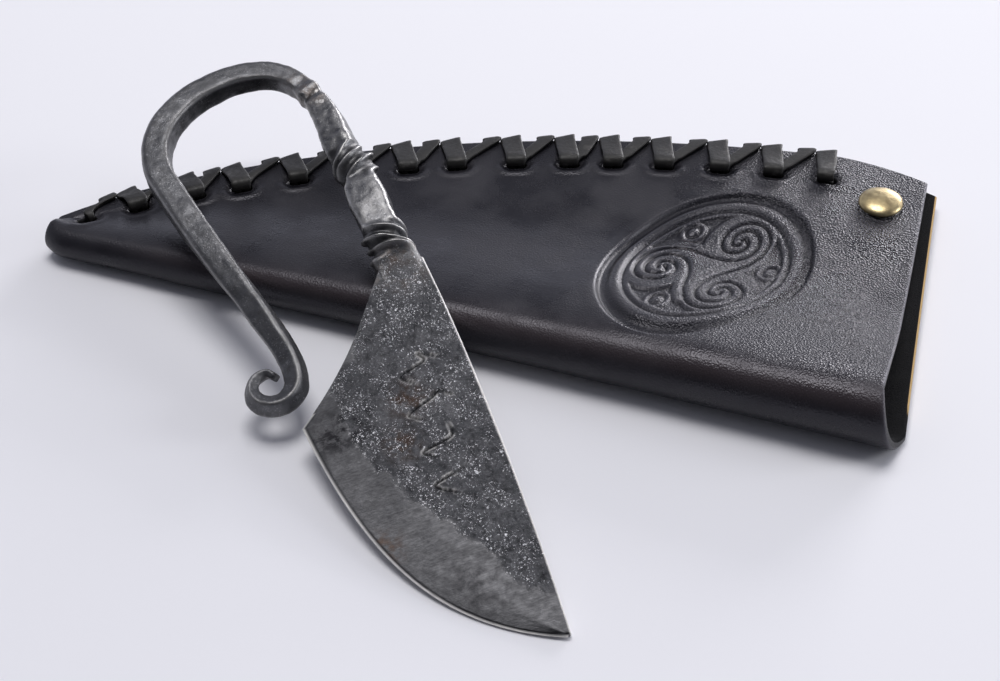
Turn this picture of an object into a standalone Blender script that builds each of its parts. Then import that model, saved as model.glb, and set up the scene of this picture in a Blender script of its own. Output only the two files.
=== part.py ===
"""A one-piece forged iron knife with a curled handle, leaning on its own laced leather sheath.

Lengths are in millimetres until MM turns them into metres.  The sheath is drawn with X along its fold,
from the closed tip to the mouth, Y from the fold to the laced edge, and Z up from the table.
The knife is drawn flat, with X from the neck to the blade's tip and Y from the cutting edge to the spine.
"""

import math

import bmesh
import bpy
from mathutils import Matrix, Vector

MM = 0.001

# Sheath: one piece of leather, folded along Y = 0
LEATHER = 2.2
LAYER_GAP = 0.3
FOLD_AT_TIP = 6.2
FOLD_GAIN = 7.8
FOLD_POWER = 0.8
SHEATH_LENGTH = 186.4
WIDEST_AT = 155.0
EDGE_CURVE = ((0.0, 5.6), (20.0, 36.0), (80.0, 72.9), (WIDEST_AT, 82.8))
EDGE_FALL = 0.0075
TIP_EDGE_SLOPE = 1.4
FLAT_FROM = 0.62
FLAT_GAIN = 0.2
FRONT_MOUTH = 181.0
FRONT_MOUTH_RAKE = 6.6
FRONT_MOUTH_BOW = 1.3
BACK_MOUTH_RAKE = 9.6
MOUTH_WIDTH = 81.0
TIP_AT = 1.6
TIP_ROUND = 5.0
TIP_ROUND_DEPTH = 1.8
LIFT = 1.2
LIFT_SHORTEST = 3.5
BACK_COLUMNS = 7
FOLD_COLUMNS = 10
FRONT_COLUMNS = 12
SHEATH_ROWS = 34

# Lacing: one flat thong, twice through each slot
FIRST_HOLE_ARC = 7.6
LAST_HOLE_X = 153.0
PUNCHED_OFF = (0, 0, 1, -0.5, 0.5, 1, 1.5, 0.5, 2, 2, 0, -0.5, 0, 0, 0)
HOLES = len(PUNCHED_OFF)
INSET_AT_TIP = 3.7
INSET_GAIN = 5.0
INSET_REACH = 28.0
THONG_WIDTH = 4.2
THONG_THICK = 0.85
SLOT_LENGTH = 4.6
SLOT_WIDTH = 2.4
PASS_OFFSET = 1.15
PASS_HALF_WIDTH = 0.8
STRAP_BEFORE_HOLE = 1.1
STRAP_REACH = 2.4
STRAP_NARROWS = 0.3
DIAGONAL_BEFORE_NEXT = 5.5
DIAGONAL_LEAVES = 2.7
DIAGONAL_HALF_WIDTH = 1.5
DIAGONAL_NARROWS = 0.4
START_INWARDS = 1.2
START_HALF_WIDTH = 1.6
END_REACH = 3.4
END_HALF_WIDTH = 1.0
LACING_CLEARANCE = 0.2
HOLE_BEND = (1.3, 0.4, 0.25, 1.1)
EDGE_BEND = (0.9, 0.25, 0.3, 1.0)
SLOT_SEGMENTS = 12
CUTTER_DEPTH = 30.0

# Rivet beside the mouth, through both layers
RIVET_AT = (167.0, 69.3)
CAP_RADIUS = 4.75
CAP_RISE = 1.9
CAP_RIM = 0.35
SOCKET_RADIUS = 1.6
BORE_RADIUS = 1.0
PIN_RADIUS = 0.7
RIVET_HOLE_RADIUS = 1.95
RIVET_HOLE_SEGMENTS = 24
SOCKET_ABOVE_BACK = 0.2
CAP_FACE = 0.4
PIN_END_GAP = 0.6
BACK_CAP_CHAMFER = (0.4, 0.2)
BACK_CAP_RADIUS = 4.2
BACK_CAP_THICK = 0.7
RIVET_GAP = 0.25
TURNED_STEPS = 32

# Knife blade: spine and front outlines as Bezier curves from the neck to the tip
SPINE = ((-0.5, 4.6), (24.0, 6.4), (62.0, 6.2), (88.2, 4.6))
CHOIL = ((-0.5, -4.7), (8.0, -10.5), (17.0, -15.0), (29.0, -28.9))
EDGE = ((29.0, -28.9), (57.5, -25.5), (78.5, -19.0), (88.6, 3.6))
HEEL_SHARE = 0.34
CHOIL_STEPS = 7
EDGE_STEPS = 18
SPINE_THICK = (3.0, 1.6)
FRONT_THICK = (2.8, 0.35)
GRIND_SHARE = 0.64
GRIND_THINS = 0.25

# Knife handle: centre line and bar size, from inside the neck round to the arm
SHANK = (
    (7.0, 0.0, 2.4),
    (1.0, -0.2, 6.0),
    (-5.0, -0.9, 7.2),
    (-14.0, -1.3, 6.6),
    (-20.0, -1.4, 7.0),
    (-28.0, -1.5, 6.4),
    (-36.0, -2.8, 5.8),
    (-43.0, -3.1, 5.4),
    (-49.5, -4.2, 5.0),
)
SHANK_TWIST = math.radians(450)
BOW = (
    (-55.6, -6.4, 4.8),
    (-60.6, -10.2, 5.0),
    (-63.2, -16.8, 5.3),
    (-62.8, -25.2, 5.6),
    (-59.5, -32.8, 5.8),
    (-53.5, -38.4, 6.0),
    (-46.0, -40.6, 6.0),
    (-36.0, -39.2, 6.0),
    (-22.0, -35.8, 5.8),
    (-8.0, -31.9, 5.2),
    (4.0, -28.7, 4.7),
    (11.0, -27.2, 4.3),
)
SCROLL_CENTRE = (17.3, -32.0)
SCROLL_ANGLES = (95, -215)
SCROLL_RADII = (5.1, 2.2)
SCROLL_SIZES = (4.1, 1.4)
SCROLL_POINTS = 11
CURVE_STEPS = 5
BAR_CORNER = 0.16

# Knife at rest: edge on the table, neck over the fold
NECK_AT = (83.3, 5.9, 15.6)
LEAN = math.radians(13.0)
SPINE_TURN = math.radians(-51.8)

COLOURS = {
    "black_leather": ((0.016, 0.015, 0.017), 0.42, 0.0),
    "dark_thong": ((0.030, 0.026, 0.022), 0.60, 0.0),
    "brass": ((0.55, 0.43, 0.20), 0.30, 1.0),
    "forged_iron": ((0.10, 0.10, 0.105), 0.45, 1.0),
}


def make_material(name):
    colour, roughness, metallic = COLOURS[name]
    material = bpy.data.materials.new(name)
    material.use_nodes = True
    shader = material.node_tree.nodes["Principled BSDF"]
    shader.inputs["Base Color"].default_value = (*colour, 1.0)
    shader.inputs["Roughness"].default_value = roughness
    shader.inputs["Metallic"].default_value = metallic
    return material


def add_mesh(name, points, faces, collection):
    """A mesh object from points in millimetres, with its faces turned outwards."""
    mesh = bpy.data.meshes.new(name)
    mesh.from_pydata([Vector(point) * MM for point in points], [], faces)
    shape = bmesh.new()
    shape.from_mesh(mesh)
    bmesh.ops.recalc_face_normals(shape, faces=shape.faces)
    shape.to_mesh(mesh)
    shape.free()
    obj = bpy.data.objects.new(name, mesh)
    collection.objects.link(obj)
    return obj


def strip_faces(rows, columns, closed):
    """Quads between successive rows of points, with end caps when each row is a closed ring."""
    faces = []
    last = columns if closed else columns - 1
    for row in range(rows - 1):
        for column in range(last):
            after = (column + 1) % columns
            low = row * columns
            high = low + columns
            faces.append((low + column, low + after, high + after, high + column))
    if closed:
        faces.append(tuple(range(columns)))
        faces.append(tuple(range((rows - 1) * columns, rows * columns)))
    return faces


def bezier(corners, share):
    """The point at a share of the way along a cubic Bezier curve."""
    weights = (
        (1 - share) ** 3,
        3 * share * (1 - share) ** 2,
        3 * share**2 * (1 - share),
        share**3,
    )
    return tuple(sum(w * corner[axis] for w, corner in zip(weights, corners)) for axis in (0, 1))


def blend(ends, share):
    return ends[0] + (ends[1] - ends[0]) * share


def smooth_step(share):
    share = min(max(share, 0.0), 1.0)
    return share * share * (3 - 2 * share)


# ---------------------------------------------------------------- sheath shape


def sheath_width(x):
    """Distance from the fold to the laced edge at x."""
    if x >= WIDEST_AT:
        return EDGE_CURVE[3][1] - EDGE_FALL * (x - WIDEST_AT) ** 2
    low, high = 0.0, 1.0
    for _ in range(30):
        middle = (low + high) / 2
        if bezier(EDGE_CURVE, middle)[0] < x:
            low = middle
        else:
            high = middle
    return bezier(EDGE_CURVE, low)[1]


def fold_height(x):
    return FOLD_AT_TIP + FOLD_GAIN * (max(x, 0.0) / SHEATH_LENGTH) ** FOLD_POWER


def lacing_inset(x):
    """Distance from the laced edge to the row of slots."""
    return INSET_AT_TIP + INSET_GAIN * (1 - math.exp(-x / INSET_REACH))


def lift(x, y):
    """The back rises from the fold to the slots, because the thong runs under it."""
    full_at = max(LIFT_SHORTEST, sheath_width(x) - lacing_inset(x))
    return LIFT * min(1.0, max(y, 0.0) / full_at)


def front_middle(x, y):
    """Height of the middle of the front layer above the table."""
    radius = fold_height(x) / 2
    reach = FLAT_FROM - FLAT_GAIN * (x / SHEATH_LENGTH) ** 4
    meets = radius + (sheath_width(x) - radius) * reach
    flat = 1.5 * LEATHER + LAYER_GAP
    crown = fold_height(x) - LEATHER / 2
    return lift(x, y) + crown + (flat - crown) * smooth_step((y - radius) / (meets - radius))


def mouth_end(layer, y):
    """Where the front (1) or back (-1) layer ends at the mouth."""
    share = min(max(y / MOUTH_WIDTH, 0.0), 1.0)
    if layer > 0:
        return FRONT_MOUTH - FRONT_MOUTH_RAKE * share**FRONT_MOUTH_BOW
    return SHEATH_LENGTH - BACK_MOUTH_RAKE * share


def tip_shift(x):
    """Rounds the closed end of the fold."""
    return TIP_ROUND_DEPTH * max(0.0, 1 - (x - TIP_AT) / TIP_ROUND) ** 2


def sheath_point(share, column):
    """A point of the leather's middle surface: share runs from tip to mouth, column from back to front."""
    to_fold = BACK_COLUMNS + FOLD_COLUMNS
    mouth_width = sheath_width(SHEATH_LENGTH)
    if column < BACK_COLUMNS:
        across = 1 - column / BACK_COLUMNS
        x = blend((TIP_AT, mouth_end(-1, across * mouth_width)), share)
        radius = fold_height(x) / 2
        y = radius + across * (sheath_width(x) - radius)
        return x, y + tip_shift(x) * (1 - across), lift(x, y) + LEATHER / 2
    if column <= to_fold:
        turn = (column - BACK_COLUMNS) / FOLD_COLUMNS
        x = blend((TIP_AT, blend((SHEATH_LENGTH, FRONT_MOUTH), turn)), share)
        radius = fold_height(x) / 2
        bend = radius - LEATHER / 2
        y = radius - bend * math.sin(turn * math.pi)
        return x, y + tip_shift(x), lift(x, y) + radius - bend * math.cos(turn * math.pi)
    across = (column - to_fold) / FRONT_COLUMNS
    x = blend((TIP_AT, mouth_end(1, across * mouth_width)), share)
    radius = fold_height(x) / 2
    y = radius + across * (sheath_width(x) - radius)
    return x, y + tip_shift(x) * (1 - across), front_middle(x, y)


class LacedEdge:
    """Places measured along the laced edge, and inwards from it."""

    def __init__(self, steps=800):
        self.marks = [(0.0, 0.0)]
        last = (0.0, sheath_width(0.0))
        for step in range(1, steps + 1):
            x = FRONT_MOUTH * step / steps
            here = (x, sheath_width(x))
            self.marks.append((self.marks[-1][0] + math.dist(last, here), x))
            last = here

    def x_at(self, arc):
        for (arc_low, x_low), (arc_high, x_high) in zip(self.marks, self.marks[1:]):
            if arc <= arc_high:
                return x_low + (x_high - x_low) * (arc - arc_low) / (arc_high - arc_low)
        return FRONT_MOUTH

    def arc_at(self, x):
        return min(self.marks, key=lambda mark: abs(mark[1] - x))[0]

    def place(self, arc, inwards):
        x = self.x_at(arc)
        slope = (sheath_width(x + 0.5) - sheath_width(x - 0.5)) if x > 0.5 else TIP_EDGE_SLOPE
        size = math.hypot(1.0, slope)
        return x + inwards * slope / size, sheath_width(x) - inwards / size

    def direction(self, arc):
        ahead = self.place(arc + 0.5, 0.0)
        behind = self.place(arc - 0.5, 0.0)
        return math.atan2(ahead[1] - behind[1], ahead[0] - behind[0])


def hole_arcs(edge):
    """Where the slots lie along the laced edge: evenly spaced, but for the slips of a hand punch."""
    ends = (FIRST_HOLE_ARC, edge.arc_at(LAST_HOLE_X))
    return [blend(ends, index / (HOLES - 1)) + off for index, off in enumerate(PUNCHED_OFF)]


def cut(obj, cutter, operation="DIFFERENCE"):
    boolean = obj.modifiers.new(cutter.name, "BOOLEAN")
    boolean.solver = "EXACT"
    boolean.operation = operation
    boolean.object = cutter


def make_slot_cutters(edge, cutters):
    """One rounded slot through both layers for each stitch."""
    found = []
    for index, arc in enumerate(hole_arcs(edge)):
        x, y = edge.place(arc, lacing_inset(edge.x_at(arc)))
        shape = bmesh.new()
        bmesh.ops.create_cone(
            shape,
            cap_ends=True,
            segments=SLOT_SEGMENTS,
            radius1=SLOT_WIDTH / 2 * MM,
            radius2=SLOT_WIDTH / 2 * MM,
            depth=CUTTER_DEPTH * MM,
        )
        stretch = (SLOT_LENGTH - SLOT_WIDTH) / 2 * MM
        for vertex in shape.verts:
            vertex.co.x += math.copysign(stretch, vertex.co.x) if abs(vertex.co.x) > 1e-6 else 0.0
        mesh = bpy.data.meshes.new(f"slot_cutter_{index:02d}")
        shape.to_mesh(mesh)
        shape.free()
        cutter = bpy.data.objects.new(mesh.name, mesh)
        cutter.location = Vector((x, y, 0)) * MM
        cutter.rotation_euler.z = edge.direction(arc)
        cutters.objects.link(cutter)
        found.append(cutter)
    return found


def make_rivet_cutter(cutters):
    shape = bmesh.new()
    radius = RIVET_HOLE_RADIUS * MM
    bmesh.ops.create_cone(
        shape,
        cap_ends=True,
        segments=RIVET_HOLE_SEGMENTS,
        radius1=radius,
        radius2=radius,
        depth=CUTTER_DEPTH * MM,
    )
    mesh = bpy.data.meshes.new("rivet_cutter")
    shape.to_mesh(mesh)
    shape.free()
    cutter = bpy.data.objects.new(mesh.name, mesh)
    cutter.location = Vector((*RIVET_AT, 0)) * MM
    cutters.objects.link(cutter)
    return cutter


def make_leather(edge, collection, cutters):
    columns = BACK_COLUMNS + FOLD_COLUMNS + FRONT_COLUMNS + 1
    points = [
        sheath_point(row / (SHEATH_ROWS - 1), column)
        for row in range(SHEATH_ROWS)
        for column in range(columns)
    ]
    leather = add_mesh(
        "sheath_leather", points, strip_faces(SHEATH_ROWS, columns, False), collection
    )
    solid = leather.modifiers.new("leather_thickness", "SOLIDIFY")
    solid.thickness = LEATHER * MM
    solid.offset = 0.0
    for cutter in [*make_slot_cutters(edge, cutters), make_rivet_cutter(cutters)]:
        cut(leather, cutter)
    return leather


# ---------------------------------------------------------------- lacing


class ThongRoute:
    """Sections of the thong, each placed along the laced edge (arc), inwards from it and in height."""

    def __init__(self, edge):
        self.edge = edge
        self.rings = []

    def surface(self, arc, inwards, side):
        """Height of the thong's centre where it lies on the front (1) or under the back (-1)."""
        x, y = self.edge.place(arc, inwards)
        clear = LACING_CLEARANCE + THONG_THICK / 2
        if side > 0:
            return front_middle(x, y) + LEATHER / 2 + clear
        return lift(x, y) - clear

    def add(self, arc, inwards, height, half_width, heading):
        """Adds a section; heading is the way the thong runs, 0 inwards and 90 up."""
        turn = math.radians(heading)
        half_thick = THONG_THICK / 2
        normal_in, normal_up = -math.sin(turn), math.cos(turn)
        for along, out in ((-1, -1), (1, -1), (1, 1), (-1, 1)):
            x, y = self.edge.place(
                arc + along * half_width, inwards + out * normal_in * half_thick
            )
            self.rings.append((x, y, height + out * normal_up * half_thick))

    def lie(self, arc, inwards, side, half_width, heading):
        self.add(arc, inwards, self.surface(arc, inwards, side), half_width, heading)

    def up_through(self, arc, inset):
        """From under the back, up through a slot and out over the front."""
        run, bend, rise, straight = HOLE_BEND
        low = self.surface(arc, inset - run, -1)
        high = self.surface(arc, inset - run, 1)
        self.add(arc, inset - run, low, PASS_HALF_WIDTH, 0)
        self.add(arc, inset - bend, low + rise, PASS_HALF_WIDTH, 45)
        self.add(arc, inset, low + straight, PASS_HALF_WIDTH, 90)
        self.add(arc, inset, high - straight, PASS_HALF_WIDTH, 90)
        self.add(arc, inset - bend, high - rise, PASS_HALF_WIDTH, 135)
        self.add(arc, inset - run, high, PASS_HALF_WIDTH, 180)

    def over_edge(self, arc, half_width):
        """Round the edge of the leather, from the front to the back."""
        run, bend, drop, straight = EDGE_BEND
        high = self.surface(arc, run, 1)
        low = self.surface(arc, run, -1)
        outside = -LACING_CLEARANCE - THONG_THICK / 2
        self.add(arc, run, high, half_width, 180)
        self.add(arc, outside + bend, high - drop, half_width, 225)
        self.add(arc, outside, high - straight, half_width, 270)
        self.add(arc, outside, low + straight, half_width, 270)
        self.add(arc, outside + bend, low + drop, half_width, 315)
        self.add(arc, run, low, half_width, 360)


def make_thong(edge, collection):
    route = ThongRoute(edge)
    arcs = hole_arcs(edge)
    half = THONG_WIDTH / 2
    strap_half = half - STRAP_NARROWS
    for index, arc in enumerate(arcs):
        inset = lacing_inset(edge.x_at(arc))
        near = inset - STRAP_REACH
        if index == 0:
            route.lie(arc + PASS_OFFSET, START_INWARDS, -1, START_HALF_WIDTH, 0)
        else:
            route.up_through(arc - PASS_OFFSET, inset)
            route.lie(arc - PASS_OFFSET, near, 1, strap_half, 180)
            route.over_edge(arc - STRAP_BEFORE_HOLE, half)
            route.lie(arc + PASS_OFFSET, near, -1, strap_half, 0)
        route.up_through(arc + PASS_OFFSET, inset)
        if index == HOLES - 1:
            route.lie(arc + DIAGONAL_LEAVES, inset - END_REACH, 1, END_HALF_WIDTH, 180)
            continue
        next_arc = arcs[index + 1]
        next_near = lacing_inset(edge.x_at(next_arc)) - STRAP_REACH
        route.lie(arc + DIAGONAL_LEAVES, near, 1, DIAGONAL_HALF_WIDTH, 180)
        route.over_edge(next_arc - DIAGONAL_BEFORE_NEXT, half - DIAGONAL_NARROWS)
        route.lie(next_arc - DIAGONAL_LEAVES, next_near, -1, DIAGONAL_HALF_WIDTH, 0)
    faces = strip_faces(len(route.rings) // 4, 4, True)
    return add_mesh("lacing_thong", route.rings, faces, collection)


# ---------------------------------------------------------------- rivet


def make_turned(name, profile, collection):
    """Turns a profile of (radius, height) pairs, ordered down the outer side, about a vertical axis."""
    mesh = bpy.data.meshes.new(name)
    points = [(radius * MM, 0.0, height * MM) for radius, height in profile]
    mesh.from_pydata(points, [(i, i + 1) for i in range(len(points) - 1)], [])
    obj = bpy.data.objects.new(name, mesh)
    obj.location = Vector((*RIVET_AT, 0)) * MM
    collection.objects.link(obj)
    screw = obj.modifiers.new("turned", "SCREW")
    screw.steps = TURNED_STEPS
    screw.render_steps = TURNED_STEPS
    screw.use_merge_vertices = True
    screw.merge_threshold = 0.00001
    screw.use_smooth_shade = True
    return obj


def make_rivet(collection):
    x, y = RIVET_AT
    leather_top = front_middle(x, y) + LEATHER / 2
    leather_base = lift(x, y)
    seat = leather_top + RIVET_GAP
    dome = [
        (CAP_RADIUS * math.sin(angle), seat + CAP_RIM + (CAP_RISE - CAP_RIM) * math.cos(angle))
        for angle in (math.radians(step * 10) for step in range(10))
    ]
    inner_top = seat - CAP_FACE
    front = make_turned(
        "rivet_front_cap",
        [
            *dome,
            (CAP_RADIUS, seat),
            (SOCKET_RADIUS, seat),
            (SOCKET_RADIUS, leather_base + SOCKET_ABOVE_BACK),
            (BORE_RADIUS, leather_base + SOCKET_ABOVE_BACK),
            (BORE_RADIUS, inner_top),
            (0.0, inner_top),
        ],
        collection,
    )
    flange_top = leather_base - RIVET_GAP
    flange_base = flange_top - BACK_CAP_THICK
    chamfer_in, chamfer_up = BACK_CAP_CHAMFER
    back = make_turned(
        "rivet_back_cap",
        [
            (0.0, inner_top - PIN_END_GAP),
            (PIN_RADIUS, inner_top - PIN_END_GAP),
            (PIN_RADIUS, flange_top),
            (BACK_CAP_RADIUS, flange_top),
            (BACK_CAP_RADIUS, flange_base + chamfer_up),
            (BACK_CAP_RADIUS - chamfer_in, flange_base),
            (0.0, flange_base),
        ],
        collection,
    )
    return front, back


# ---------------------------------------------------------------- knife


def blade_section(front, spine, front_thick, spine_thick):
    """Six points round the blade: spine, grind line and edge, above and below."""
    middle = [blend((spine[axis], front[axis]), GRIND_SHARE) for axis in (0, 1)]
    middle_thick = blend((spine_thick, front_thick), GRIND_THINS)
    return [
        (*spine, spine_thick / 2),
        (*middle, middle_thick / 2),
        (*front, front_thick / 2),
        (*front, -front_thick / 2),
        (*middle, -middle_thick / 2),
        (*spine, -spine_thick / 2),
    ]


def make_blade(collection):
    rings = []
    for step in range(CHOIL_STEPS):
        share = step / CHOIL_STEPS
        spine_share = HEEL_SHARE * share
        thin = blend(FRONT_THICK, smooth_step(share))
        rings += blade_section(
            bezier(CHOIL, share), bezier(SPINE, spine_share), thin, blend(SPINE_THICK, spine_share)
        )
    for step in range(EDGE_STEPS + 1):
        share = step / EDGE_STEPS
        spine_share = blend((HEEL_SHARE, 1.0), share)
        rings += blade_section(
            bezier(EDGE, share),
            bezier(SPINE, spine_share),
            FRONT_THICK[1],
            blend(SPINE_THICK, spine_share),
        )
    sections = CHOIL_STEPS + EDGE_STEPS + 1
    return add_mesh("knife_forging", rings, strip_faces(sections, 6, True), collection)


def scroll_points():
    """The rolled end: a spiral that closes in on its own arm."""
    found = []
    for step in range(SCROLL_POINTS):
        share = step / (SCROLL_POINTS - 1)
        angle = math.radians(blend(SCROLL_ANGLES, share))
        radius = SCROLL_RADII[1] + (SCROLL_RADII[0] - SCROLL_RADII[1]) * math.sqrt(1 - share)
        x = SCROLL_CENTRE[0] + radius * math.cos(angle)
        y = SCROLL_CENTRE[1] + radius * math.sin(angle)
        found.append((x, y, blend(SCROLL_SIZES, share)))
    return found


def make_bar_profile(cutters):
    """A square with broken corners, one millimetre across, that the curve's radius scales."""
    profile = bpy.data.curves.new("bar_profile", "CURVE")
    profile.dimensions = "2D"
    outline = profile.splines.new("POLY")
    points = []
    for quarter in range(4):
        turn = Matrix.Rotation(math.radians(90 * quarter), 2)
        points.append(turn @ Vector((0.5 - BAR_CORNER, 0.5)))
        points.append(turn @ Vector((BAR_CORNER - 0.5, 0.5)))
    outline.points.add(len(points) - 1)
    for point, (x, y) in zip(outline.points, points):
        point.co = (x * MM, y * MM, 0, 1)
    outline.use_cyclic_u = True
    obj = bpy.data.objects.new("bar_profile", profile)
    cutters.objects.link(obj)
    return obj


def make_handle(cutters):
    """The drawn-out bar: twisted shank, round bow, straight arm and scroll, as one sweep."""
    curve = bpy.data.curves.new("handle_path", "CURVE")
    curve.dimensions = "3D"
    curve.twist_mode = "Z_UP"
    curve.resolution_u = CURVE_STEPS
    curve.bevel_mode = "OBJECT"
    curve.bevel_object = make_bar_profile(cutters)
    curve.use_fill_caps = True
    path = [*SHANK, *BOW, *scroll_points()]
    spline = curve.splines.new("BEZIER")
    spline.bezier_points.add(len(path) - 1)
    for index, (point, (x, y, size)) in enumerate(zip(spline.bezier_points, path)):
        point.co = Vector((x, y, 0)) * MM
        point.handle_left_type = "AUTO"
        point.handle_right_type = "AUTO"
        point.radius = size
        point.tilt = SHANK_TWIST * min(1.0, max(0, index - 1) / (len(SHANK) - 2))
    path_object = bpy.data.objects.new("handle_path", curve)
    cutters.objects.link(path_object)
    bpy.context.view_layer.update()
    graph = bpy.context.evaluated_depsgraph_get()
    mesh = bpy.data.meshes.new_from_object(path_object.evaluated_get(graph))
    shape = bmesh.new()
    shape.from_mesh(mesh)
    bmesh.ops.remove_doubles(shape, verts=shape.verts, dist=0.00001)
    bmesh.ops.recalc_face_normals(shape, faces=shape.faces)
    shape.to_mesh(mesh)
    shape.free()
    bpy.data.objects.remove(path_object)
    handle = bpy.data.objects.new("handle_bar", mesh)
    cutters.objects.link(handle)
    return handle


def make_knife(collection, cutters):
    knife = make_blade(collection)
    handle = make_handle(cutters)
    cut(knife, handle, "UNION")
    return knife, handle


# ---------------------------------------------------------------- assembly


def centre_on_table(root, nodes):
    """Moves the whole object so that its box stands on the origin."""
    bpy.context.view_layer.update()
    graph = bpy.context.evaluated_depsgraph_get()
    corners = []
    for node in nodes:
        shown = node.evaluated_get(graph)
        corners += [shown.matrix_world @ vertex.co for vertex in shown.data.vertices]
    low = [min(corner[axis] for corner in corners) for axis in range(3)]
    high = [max(corner[axis] for corner in corners) for axis in range(3)]
    root.location -= Vector(((low[0] + high[0]) / 2, (low[1] + high[1]) / 2, low[2]))


def main():
    for obj in list(bpy.data.objects):
        bpy.data.objects.remove(obj)
    scene = bpy.context.scene
    collection = bpy.data.collections.new("curl_handled_knife_and_sheath")
    cutters = bpy.data.collections.new("cutters")
    scene.collection.children.link(collection)
    scene.collection.children.link(cutters)

    edge = LacedEdge()
    leather = make_leather(edge, collection, cutters)
    thong = make_thong(edge, collection)
    front_cap, back_cap = make_rivet(collection)
    knife, handle = make_knife(collection, cutters)

    sheath_frame = bpy.data.objects.new("sheath_frame", None)
    knife_frame = bpy.data.objects.new("knife_frame", None)
    collection.objects.link(sheath_frame)
    collection.objects.link(knife_frame)
    knife_frame.parent = sheath_frame
    knife_frame.location = Vector(NECK_AT) * MM
    knife_frame.rotation_euler = (
        Matrix.Rotation(LEAN, 3, "X") @ Matrix.Rotation(SPINE_TURN, 3, "Z")
    ).to_euler()
    for obj in (leather, thong, front_cap, back_cap):
        obj.parent = sheath_frame
    for obj in (knife, handle):
        obj.parent = knife_frame
    for obj in cutters.objects:
        obj.hide_render = True
        obj.display_type = "WIRE"
        if obj.parent is None:
            obj.parent = sheath_frame
    cutters.hide_render = True

    looks = {
        leather: "black_leather",
        thong: "dark_thong",
        front_cap: "brass",
        back_cap: "brass",
        knife: "forged_iron",
    }
    for obj, look in looks.items():
        obj.data.materials.append(bpy.data.materials.get(look) or make_material(look))
    centre_on_table(sheath_frame, looks)


main()
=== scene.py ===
"""Looks for the curl-handled forged knife and its laced sheath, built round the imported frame.

Shapes are worked out in millimetres in two drawings and then moved into the frame.
Sheath drawing: X along the fold from closed tip to mouth, Y from the fold to the laced edge, Z up.
Knife drawing: X from the neck to the blade's tip, Y from the cutting edge to the spine, Z off its face.
"""

import math

import bpy
import numpy as np
from mathutils import Matrix, Vector, noise


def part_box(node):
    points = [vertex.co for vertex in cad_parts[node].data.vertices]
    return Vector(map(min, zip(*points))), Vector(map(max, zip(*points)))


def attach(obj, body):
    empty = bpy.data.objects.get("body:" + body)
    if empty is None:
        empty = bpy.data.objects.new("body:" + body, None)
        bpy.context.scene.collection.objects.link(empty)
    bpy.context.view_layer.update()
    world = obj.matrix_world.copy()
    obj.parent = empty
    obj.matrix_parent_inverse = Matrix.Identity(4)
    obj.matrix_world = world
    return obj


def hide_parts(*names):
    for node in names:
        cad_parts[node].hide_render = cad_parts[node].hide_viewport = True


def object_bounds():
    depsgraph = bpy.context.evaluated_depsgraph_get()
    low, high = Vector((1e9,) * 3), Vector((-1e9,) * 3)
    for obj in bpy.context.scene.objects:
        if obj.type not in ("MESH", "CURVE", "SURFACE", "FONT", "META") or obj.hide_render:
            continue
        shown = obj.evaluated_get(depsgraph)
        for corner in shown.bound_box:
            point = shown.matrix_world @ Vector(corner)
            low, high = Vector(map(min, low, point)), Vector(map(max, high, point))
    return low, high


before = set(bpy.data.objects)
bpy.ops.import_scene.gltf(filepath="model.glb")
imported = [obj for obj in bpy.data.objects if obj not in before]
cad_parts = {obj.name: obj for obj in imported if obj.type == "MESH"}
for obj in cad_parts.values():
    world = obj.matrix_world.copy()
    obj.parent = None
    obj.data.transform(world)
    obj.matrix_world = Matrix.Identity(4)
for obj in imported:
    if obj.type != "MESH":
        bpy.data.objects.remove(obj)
cad_low, cad_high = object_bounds()

MM = 0.001

# ---- sizes shared with the CAD part

LEATHER = 2.2
LAYER_GAP = 0.3
FOLD_AT_TIP = 6.2
FOLD_GAIN = 7.8
SHEATH_LENGTH = 186.4
WIDEST_AT = 155.0
EDGE_CURVE = ((0.0, 5.6), (20.0, 36.0), (80.0, 72.9), (WIDEST_AT, 82.8))
EDGE_FALL = 0.0075
FRONT_MOUTH = 181.0
FRONT_MOUTH_RAKE = 6.6
BACK_MOUTH_RAKE = 9.6
MOUTH_WIDTH = 81.0
TIP_AT = 1.6
TIP_ROUND = 5.0
TIP_ROUND_DEPTH = 1.8
LIFT = 1.2
LIFT_SHORTEST = 3.5

FIRST_HOLE_ARC = 7.6
LAST_HOLE_X = 153.0
PUNCHED_OFF = (0, 0, 1, -0.5, 0.5, 1, 1.5, 0.5, 2, 2, 0, -0.5, 0, 0, 0)
HOLES = len(PUNCHED_OFF)
THONG_THICK = 0.85
SLOT_LENGTH = 4.6
SLOT_WIDTH = 2.4
PASS_OFFSET = 1.15
PASS_HALF_WIDTH = 0.8
DIAGONAL_BEFORE_NEXT = 5.5
OVER_BACK = 1.1
LACING_CLEARANCE = 0.2

RIVET_AT = (167.0, 69.3)
RIVET_HOLE_RADIUS = 1.95

SPINE = ((-0.5, 4.6), (24.0, 6.4), (62.0, 6.2), (88.2, 4.6))
CHOIL = ((-0.5, -4.7), (8.0, -10.5), (17.0, -15.0), (29.0, -28.9))
EDGE = ((29.0, -28.9), (57.5, -25.5), (78.5, -19.0), (88.6, 3.6))
HEEL_SHARE = 0.34
SPINE_THICK = (3.0, 1.6)
FRONT_THICK = (2.8, 0.35)
GRIND_SHARE = 0.64

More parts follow.
